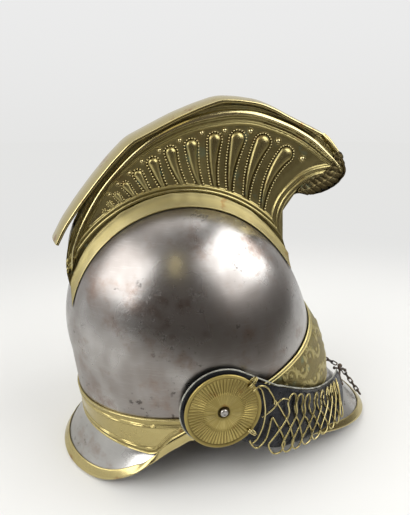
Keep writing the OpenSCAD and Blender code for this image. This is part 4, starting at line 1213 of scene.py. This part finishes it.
# Bevelled rims from the cover's end round the nose, one beside each plate
rim_in = smooth([(85.5, 293.2), (91.5, 287.6), (98.8, 280.0), (105.0, 272.6), (109.4, 265.0), (111.0, 259.5)], 81)
rim_out = smooth([(88.5, 294.5), (94.5, 290.2), (101.0, 283.2), (107.5, 275.0), (111.8, 266.8), (113.3, 259.5)], 81)
# Each section gives the share from the inner to the outer line and the distance from the middle plane
rim_face = [(0.0, 21.4), (0.02, 22.4), (0.1, 22.8), (0.3, 22.7), (0.8, 21.9), (0.97, 21.5), (1.0, 20.9)]
rim_back = [(0.03, 20.4), (0.5, 20.2), (0.97, 20.2)]


def rim_rows(section, side):
    return np.array([upright(rim_in + (rim_out - rim_in) * f, side * y) for f, y in section])


merged_piece("crest_nose_rims", [shell_parts(rim_rows(rim_face, side), rim_rows(rim_back, side)) for side in (-1, 1)],
             "helmet", plain_brass, tone=0.78, sharp=50)

# Rosettes, right side first, mirrored for the left
def on_rosette(points):
    """From the disc's own frame, with Z out of its face, to the right side of the helmet."""
    p = arr(points)
    a = math.radians(90 - LEAN)
    y = p[..., 1] * math.cos(a) - p[..., 2] * math.sin(a)
    z = p[..., 1] * math.sin(a) + p[..., 2] * math.cos(a)
    return np.stack([p[..., 0] + SKULL_X, y - ROSETTE_Y, z + PIVOT_Z], -1)


RAYS = 31
HOLE_R = 29.6
HOLES_AT = (-43, 43)
ring_t = np.arange(0, 360, 0.75)
R = np.concatenate([np.linspace(2.3, 18, 34), np.linspace(18, 28.5, 30)[1:], np.linspace(28.5, 32.6, 26)[1:]])
A, RR = np.meshgrid(ring_t, R)
base = np.interp(RR, [0, 7, 16, 25.6, 28.6, 30.2, 31.7, 32.3, 32.6], [2.5, 2.7, 2.5, 1.7, 1.6, 2.3, 2.6, 2.2, 1.2])
fold = np.abs(np.cos(np.radians(A) * RAYS))
flutes = 0.72 * fold * ease(14.5, 18.5, RR) * (1 - ease(28.6, 29.3, RR))
ray_size = np.interp(ring_t, np.arange(0, 361, 360 / (2 * RAYS)), np.append(rng.uniform(0.15, 1, 2 * RAYS), 0.5))
rays = 0.27 * ray_size * fold ** 0.7 * ease(5.4, 8, RR) * (1 - ease(13.5, 17, RR))
seat = -1.3 * ease(5.0, 4.4, RR)
holes = np.zeros_like(RR)
for a in HOLES_AT:
    d = np.hypot(RR * cosd(A) - HOLE_R * cosd(a), RR * sind(A) - HOLE_R * sind(a))
    holes = np.maximum(holes, 1 - ease(1.3, 1.8, d))


def disc(radius, angle, rise):
    return on_rosette(np.stack([radius * cosd(angle), radius * sind(angle), rise], -1))


RI, AI = np.meshgrid([2.3, 10, 20, 28, 31.0, 31.6], ring_t, indexing="ij")
disc_back = disc(RI, AI, np.interp(RI, [0, 20, 28, 31, 31.6], [1.2, 0.9, -0.3, -0.2, -0.2]))
# Tone: painted light on the flutes, rays and rim; painted shade in the seat round the screw and in the holes
disc_tone = (0.2 + 0.6 * flutes + 0.14 * (RR < 17) - 0.4 * ease(5.4, 4.8, RR) + 2.2 * rays
             + 0.25 * ease(29.4, 31, RR) - 0.35 * holes)
rosette = [shell_parts(disc(RR, A, base + flutes + rays + seat - holes * 1.8), disc_back, wrap=True)]
tone = np.concatenate([np.ravel(disc_tone), np.full(disc_back[..., 0].size, 0.2)])
for side, parts in both_sides(rosette):
    merged_piece("rosette_fluted_" + side, parts, "chinstrap_" + side, gilt_brass, ["rosette_" + side],
                 tone, 60)

# Screws: domed heads with their shanks into the skull
SCREW_Y = 108.83
HEAD_ROWS = 6
turn_t = np.arange(0, 360, 7.5)
screw_profile = [(0.02, 1.35), (0.9, 1.35), (1.5, 1.7), (2.2, 1.65), (2.9, 1.2), (3.3, 0.5), (3.35, -0.3),
                 (2.02, -0.5), (2.0, -15.0), (0.02, -15.0)]


def round_side(radius, depth, angle):
    """Ring about the rosette's axis, at a distance to the right of the middle plane."""
    return np.stack([SKULL_X + radius * cosd(angle), np.full(len(angle), -depth), PIVOT_Z + radius * sind(angle)], -1)


rows = np.array([round_side(r, SCREW_Y + h, turn_t) for r, h in screw_profile])
count = len(turn_t)
screw = [(rows.reshape(-1, 3), strip_quads(len(rows), count, 0, True), end_faces(len(rows), count))]
tone = np.repeat(np.where(np.arange(len(rows)) < HEAD_ROWS, 0.6, 0.1), count)
for side, parts in both_sides(screw):
    merged_piece("rosette_screw_domed_" + side, parts, "helmet", screw_steel, ["rosette_screw_" + side],
                 tone, 50)

# Doubled wire rings through the rosette's holes and round its rim
ring_path = even(spline([(28.7, 1.6), (29.2, 3.9), (31.5, 4.9), (34.5, 4.3), (37.2, 3.0), (38.2, 1.5), (36.8, 0.2),
                         (33.5, -0.9), (30.2, -0.9), (28.9, 0.2), (28.7, 1.6)], 6), 45)[:-1]
rings = []
for hole in HOLES_AT:
    for shift in (-0.72, 0.72):
        local = np.stack([ring_path[:, 0] * cosd(hole) - shift * sind(hole),
                          ring_path[:, 0] * sind(hole) + shift * cosd(hole), ring_path[:, 1]], -1)
        rings.append(tube_parts(on_rosette(local), 0.62, 10, closed=True))
for side, parts in both_sides(rings):
    merged_piece("rosette_wire_rings_" + side, parts, "chinstrap_" + side, wire_brass,
                 ["rosette_links_" + side], lambda v: 0.55 + 0.2 * wander(v, 6), 60)

# Chin strap leather, from the stations of its two edges
strap_top = [(-22, -101.25, 106), (-4, -101.25, 101.5), (22, -99.8, 91), (48, -91, 78), (70, -75, 65), (90, -57.5, 55),
             (108, -40, 47.5), (122, -24, 42), (132, -11, 38)]
strap_low = [(-22, -101.25, 52), (-2, -101.25, 40), (20, -102.4, 32), (45, -96.5, 29), (65, -89.5, 28),
             (84, -81.5, 27.5), (102, -69, 27.5), (116, -52.5, 28), (127, -32, 30)]
TAB_Y = 100.25
# Stations that each half uses; the left half is shorter and mirrored
STATIONS = {"right": 8, "left": 6}
PIPING_R = 0.65
TAB_ROWS = [(4, 2.0), (14, 2.0), (24, 2.0), (31, 2.0), (33.8, 1.95), (34.6, 1.7), (35.0, 1.2)]
TAB_BACK_ROWS = [(4, 0.02), (20, 0.02), (34.4, 0.02), (34.9, 0.5)]


def own_side(side, parts):
    return mirror_parts(parts) if side == "left" else parts


def strap_surface(count):
    """Upper and lower edge, the direction between them and the outward one."""
    top = spline(strap_top[:count + 1], 12)
    low = spline(strap_low[:count + 1], 12)
    across = unit(top - low)
    along = unit(np.gradient((top + low) / 2, axis=0))
    out = unit(np.cross(along, across))
    out = np.where((out[:, 1] > 0)[:, None], -out, out)
    return top, low, across, out


def strap_parts(count):
    top, low, across, out = strap_surface(count)
    f = np.linspace(0, 1, 31)[:, None, None]
    mid = low[None] * (1 - f) + top[None] * f
    puff = 1.0 - 0.75 * np.abs(2 * f - 1) ** 8
    crease = (0.24 * wander(mid, 9) + 0.2 * wander(mid + 40, 4))[..., None]
    outer = mid + out[None] * (puff + crease * puff)
    body = shell_parts(outer, mid[::6] - out[None] * puff[::6])
    a = np.arange(0, 360, 4.0)
    tab, tab_back = (np.array([round_side(r, TAB_Y + d, a) for r, d in rows]) for rows in (TAB_ROWS, TAB_BACK_ROWS))
    return [body, shell_parts(tab, tab_back, wrap=True)]


def piping_parts(count):
    """Round the tab and on along the strap's upper edge."""
    top, _, across, _ = strap_surface(count)
    line = np.concatenate([round_side(34.9, TAB_Y + 1.2, np.arange(250, 50, -4.0)), (top + across * 1.2)[22:]])
    return [tube_parts(even(spline(line[::2], 4), 260), PIPING_R, 8)]


for side, count in STATIONS.items():
    merged_piece("strap_leather_" + side, own_side(side, strap_parts(count)), "chinstrap_" + side,
                 black_leather, ["strap_" + side])
    merged_piece("strap_piping_cord_" + side, own_side(side, piping_parts(count)), "chinstrap_" + side,
                 piping, ["strap_piping_" + side])

# Wire over the strap: two coils take turns. Each hooks round the low edge, rises forward over the other one and
# falls back behind it two places on. Places are distances along the strap; heights are shares of its width, with a
# lift over the leather as the third number.
WIRE = 0.8
LOOSE_WIRE = 0.75
loop_rng = np.random.default_rng(5)
hook_at = [45, 57, 68.5, 81.5, 95.5, 109, 121.5, 133.5, 146]
hook_wide = [18, 14.5, 14, 17, 16, 15, 13.5, 13, 12]
peak_at = [59, 68.6, 79.8, 95, 108.5, 121, 132, 142, 152]
rise_by = [(0.16, 0.14), (0.27, 0.38), (0.35, 0.55), (0.45, 0.76), (0.55, 0.93), (0.65, 1.0), (0.78, 0.89),
           (0.88, 0.98)]
fall_by = [(0.89, 0.0), (0.8, 0.03), (0.72, -0.04), (0.62, 0.06), (0.52, 0.22), (0.44, 0.48), (0.35, 0.64),
           (0.27, 0.76), (0.15, 0.95)]
coil_starts = [[(16.5, 0.1, 5.2), (18.2, 0.04, 5.2), (22, 0.0, 5.2), (26, 0.02, 5.0), (30.5, 0.1, 4.6),
                (34.2, 0.2, 4.0), (37, 0.35, 3.2), (38.6, 0.47, 2.6), (40.6, 0.51, 2.2), (42.6, 0.46, 2.2),
                (46.7, 0.36, 2.2), (51.4, 0.23, 2.2)],
               [(41.5, 0.8, 1.9), (46, 0.7, 2.2), (51, 0.58, 2.2), (56, 0.46, 2.2), (60.4, 0.32, 2.2)]]


def strap_frame(count):
    """A function that gives the point at a distance along, a share of the width and a lift."""
    top, low, _, out = strap_surface(count)
    run = lengths((top + low) / 2)

    def fill(rows, at):
        return np.array([np.interp(at, run, rows[:, c]) for c in range(3)])

    def on_strap(at, share, lift):
        t, b = fill(top, at), fill(low, at)
        return b + (t - b) * share + unit(fill(out, at)) * lift

    return on_strap, run[-1]


def loop_parts(count):
    on_strap, end = strap_frame(count)
    parts = []
    for first, start in enumerate(coil_starts):
        points = list(start)
        for k in range(first, len(hook_at), len(coil_starts)):
            if hook_at[k] + 0.5 * hook_wide[k] > end:
                break
            shift, peak_shift, lift_shift = loop_rng.uniform(-0.7, 0.7, 3)
            at, w = hook_at[k] + shift, hook_wide[k]
            left, right, peak = at - 0.5 * w, at + 0.5 * w, peak_at[k] + peak_shift
            points += [(right, 0.09, 2.4), (right - 0.1 * w, 0.0, 2.6), (at + 0.17 * w, -0.06, 3.0),
                       (at - 0.17 * w, -0.06, 3.5), (left + 0.1 * w, 0.0, 4.0), (left, 0.09, 4.2)]
            points += [(left + (peak - 4.2 - left) * f, b, 4.2 + 0.3 * lift_shift) for b, f in rise_by]
            points += [(peak - 2.8, 0.93, 4.0), (peak, 0.945, 3.3), (peak + 2.8, 0.93, 2.6)]
            ahead = min(k + 2, len(hook_at) - 1)
            fall_to = hook_at[ahead] + 0.5 * hook_wide[ahead]
            points += [(peak + 4 + (fall_to - peak - 4) * f, b, 2.4) for b, f in fall_by]
        path = [on_strap(min(at, end + 1.0), share, rise) for at, share, rise in points if at < end + 12]
        parts.append(tube_parts(spline(path, 4), WIRE, 10))
    return parts


# Loose wires between the rosette's rings and the loops: distance along, share of the width, lift
loose_wires = [
    [(25.5, 0.98, 4.5), (28.8, 0.91, 5.0), (31.5, 0.66, 5.2), (30.4, 0.42, 5.2), (25, 0.17, 5.0), (19, 0.04, 4.6)],
    [(20.5, 0.9, 5.6), (23.5, 0.96, 5.6), (27.4, 1.0, 5.2), (32.6, 0.99, 4.6), (36.2, 0.92, 4.0), (39.8, 0.83, 3.2),
     (41.2, 0.73, 1.7)],
    [(29.7, 0.5, 3.2), (34.6, 0.6, 4.6), (38.6, 0.7, 6.0), (41.6, 0.8, 6.6), (46.5, 0.87, 6.4), (51.6, 0.86, 5.4)],
]


def loose_parts(count):
    on_strap, _ = strap_frame(count)
    return [tube_parts(spline([on_strap(*p) for p in wire], 8), LOOSE_WIRE, 10) for wire in loose_wires]


for side, count in STATIONS.items():
    merged_piece("strap_wire_loops_" + side, own_side(side, loop_parts(count) + loose_parts(count)),
                 "chinstrap_" + side, wire_brass, ["strap_loops_" + side],
                 lambda v: 0.6 + 0.2 * wander(v, 8), 60)

# Crossbar forged onto the hook, a little bowed, with a collar in its middle and knobs at its ends
bar_way = unit([0.95, -0.25, -0.22])
bar_at = np.linspace(-7.8, 7.8, 53)
bar_path = arr([138.6, -6.0, 35.2]) + bar_at[:, None] * bar_way + 0.9 * np.cos(bar_at / 5)[:, None] * arr([0, 0, 1])
bar_r = np.maximum(0.95, 0.35 + bead(np.abs(bar_at), 6.3, 1.6, 1.5) + bead(bar_at, 0, 2.3, 1.6))
merged_piece("closure_hook_crossbar", [tube_parts(bar_path, bar_r, 14)], "chinstrap_right", iron, sharp=50)

# Lining: sweatband with a wavy edge, pleated tongues and the lace
LINING_GAP = 1.75
BAND_LEAN = 9
BAND_LEATHER = 1.8
TONGUE_LEATHER = 1.7
TONGUES = 8
TONGUE_LOW, TONGUE_HIGH = 93, 198
TONGUE_LEAN = 4
LACE_R = 1.3
tongue_in = LINING_GAP + BAND_LEAN + 2.3


def inside_wall(t, z, off):
    return wall(t, z, -np.asarray(off, float))


ts = np.arange(0, 360, 2.0)
band_rows = []
for f in np.arange(13) / 12:
    z = 59 + 42 * f + 0.6 * np.sin(np.radians(ts) * 9) * f
    off = LINING_GAP + BAND_LEAN * f ** 0.7 + 0.35 * np.sin(np.radians(ts) * 60) * f
    band_rows.append([inside_wall(ts, z, off + depth) for depth in (0, BAND_LEATHER)])
band_rows = np.array(band_rows)
piece(shell("sweatband_leather", band_rows[:, 0], band_rows[:, 1], wrap=True), "helmet",
      lining_leather, ["sweatband"])


def tongue_parts(n):
    across = np.linspace(-1, 1, 17)
    rows = []
    for f in np.arange(25) / 24:
        z = TONGUE_LOW + (TONGUE_HIGH - TONGUE_LOW) * math.sin(f * math.pi / 2)
        tt = (n + 0.5) * 360 / TONGUES + 22.5 * (0.92 + (0.7 - 0.92) * f * f) * across
        off = tongue_in + f * TONGUE_LEAN + 0.5 * np.abs(across) ** 3 + 0.3 * np.sin(f * 9 + n)
        rows.append([inside_wall(tt, z, off + depth) for depth in (0, TONGUE_LEATHER)])
    rows = np.array(rows)
    return shell_parts(rows[:, 0], rows[:, 1])


merged_piece("liner_tongue_leather", [tongue_parts(n) for n in range(TONGUES)], "helmet",
             lining_leather, ["liner_tongues"])
ts = np.arange(0, 360, 1.5)
lace_path = inside_wall(ts, 197 + 0.5 * np.sin(np.radians(ts) * 16), tongue_in + TONGUE_LEAN + 4.6)
merged_piece("crown_lace", [tube_parts(lace_path, LACE_R, 8, closed=True)], "helmet",
             black_leather, ["draw_lace"])

# Solids that stay get their finish here
plain_nodes = ["crest_back_plate", "crest_front_plate", "crest_brackets"]
iron_nodes = ["crest_bolts", "crest_nuts", "rosette_nut_right", "rosette_nut_left", "closure_hook", "closure_chain",
              "chain_tail"]
for names, material in ((plain_nodes, plain_brass), (iron_nodes, iron)):
    for name in names:
        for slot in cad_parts[name].material_slots:
            slot.material = material

# Camera at the photo's angle
CAMERA_AT = Vector((-0.12115, -0.40368, 0.3079))
CAMERA_AIM = Vector((-0.0175, 0.0, 0.1781))


def placed(name, data, at, turned):
    obj = bpy.data.objects.new(name, data)
    obj.location = at
    obj.rotation_euler = turned.to_euler()
    scene.collection.objects.link(obj)
    return obj


camera_data = bpy.data.cameras.new("photo_camera")
camera_data.lens = 31.46
camera_data.sensor_width = 36.0
scene.camera = placed("photo_camera", camera_data, CAMERA_AT, (CAMERA_AIM - CAMERA_AT).to_track_quat("-Z", "Y"))


class Staging(Nodes):
    """Nodes of the world and the floor, which show one shade to the camera and another to the metal."""

    def __init__(self, owner, output, coordinates):
        owner.use_nodes = True
        super().__init__(owner.node_tree)
        self.tree.nodes.clear()
        self.out = self.add(output)
        self.ray = self.add("LightPath").outputs
        self.coord = self.add("TexCoord").outputs[coordinates]

    def along(self, way, low, high):
        """Share from 0 to 1 of the way toward a direction."""
        n = self.add("VectorMath", operation="DOT_PRODUCT")
        n.inputs[1].default_value = way
        self.link(self.coord, n.inputs[0])
        return self.span(n.outputs["Value"], low, high)

    def surface(self, kind, colour):
        n = self.add(kind)
        self.fill(n, (("Color", colour),))
        return n.outputs[0]

    def join(self, fac, a, b):
        n = self.add("MixShader")
        self.fill(n, ((0, fac), (1, a), (2, b)))
        self.link(n.outputs[0], self.out.inputs[0])


# The camera sees pale studio grey, a little lighter above. In what the metal reflects, the pale sweep stands behind
# and to the left, and the room on the near side is dark and warm.
world = bpy.data.worlds.new("studio")
scene.world = world
w = Staging(world, "OutputWorld", "Generated")
height = w.along((0, 0, 1), -0.35, 0.3)
seen = w.surface("Background", w.mix(height, (0.745, 0.745, 0.73), (0.84, 0.84, 0.84)))
sweep = w.along((-0.42, 0.9, 0.1), -0.45, 0.6)
room = w.surface("Background", w.mix(sweep, (0.115, 0.1, 0.09), (0.72, 0.72, 0.71)))
mirrored = w.plus(w.ray["Is Glossy Ray"], w.ray["Is Transmission Ray"])
w.join(w.plus(w.ray["Is Camera Ray"], w.times(mirrored, sweep)), room, seen)

# Floor that fades into the background far away, and is dark in reflections on the near side
FLOOR_R = 6
floor_mesh = bpy.data.meshes.new("floor")
edge = [(math.cos(a * math.pi / 32) * FLOOR_R, math.sin(a * math.pi / 32) * FLOOR_R, 0) for a in range(64)]
floor_mesh.from_pydata(edge, [], [list(range(64))])
floor = bpy.data.objects.new("floor", floor_mesh)
scene.collection.objects.link(floor)
floor_mat = bpy.data.materials.new("pale_floor")
w = Staging(floor_mat, "OutputMaterial", "Object")
front = w.along((0.35, -0.94, 0.0), 0.12, 0.5)
dark = w.times(front, w.ray["Is Glossy Ray"])
paper = w.surface("BsdfDiffuse", w.mix(dark, (0.77, 0.77, 0.755), (0.1, 0.09, 0.08)))
glow = w.surface("Emission", (0.78, 0.78, 0.77))
distance = w.add("VectorMath", operation="LENGTH")
w.link(w.coord, distance.inputs[0])
fade = w.span(distance.outputs["Value"], 0.3, 0.9)
shown = w.plus(w.ray["Is Camera Ray"], w.calc("SUBTRACT", w.ray["Is Glossy Ray"], front))
w.join(w.times(fade, shown), paper, glow)
floor_mesh.materials.append(floor_mat)


# Soft boxes where the dome mirrors them in the photo
LAMP_AIM = Vector((-0.03, 0.0, 0.15))


def softbox(name, azimuth, elevation, distance, width, height, power, colour=(1, 1, 1)):
    data = bpy.data.lights.new(name, "AREA")
    data.color = colour
    data.shape = "RECTANGLE"
    data.size = width
    data.size_y = height
    data.energy = power
    a, e = math.radians(azimuth), math.radians(elevation)
    way = Vector((math.cos(a) * math.cos(e), math.sin(a) * math.cos(e), math.sin(e)))
    placed(name, data, LAMP_AIM + way * distance, way.to_track_quat("Z", "Y"))


softbox("left_box", -161, 34, 1.6, 1.4, 1.15, 18.5)
softbox("right_box", -26, 39, 1.6, 1.9, 1.2, 24)
softbox("top_box", 90, 75, 1.9, 1.6, 1.2, 7)
softbox("warm_box", -101, 49, 1.6, 0.22, 0.5, 0.45, (1.0, 0.86, 0.42))

scene.view_settings.view_transform = "Standard"
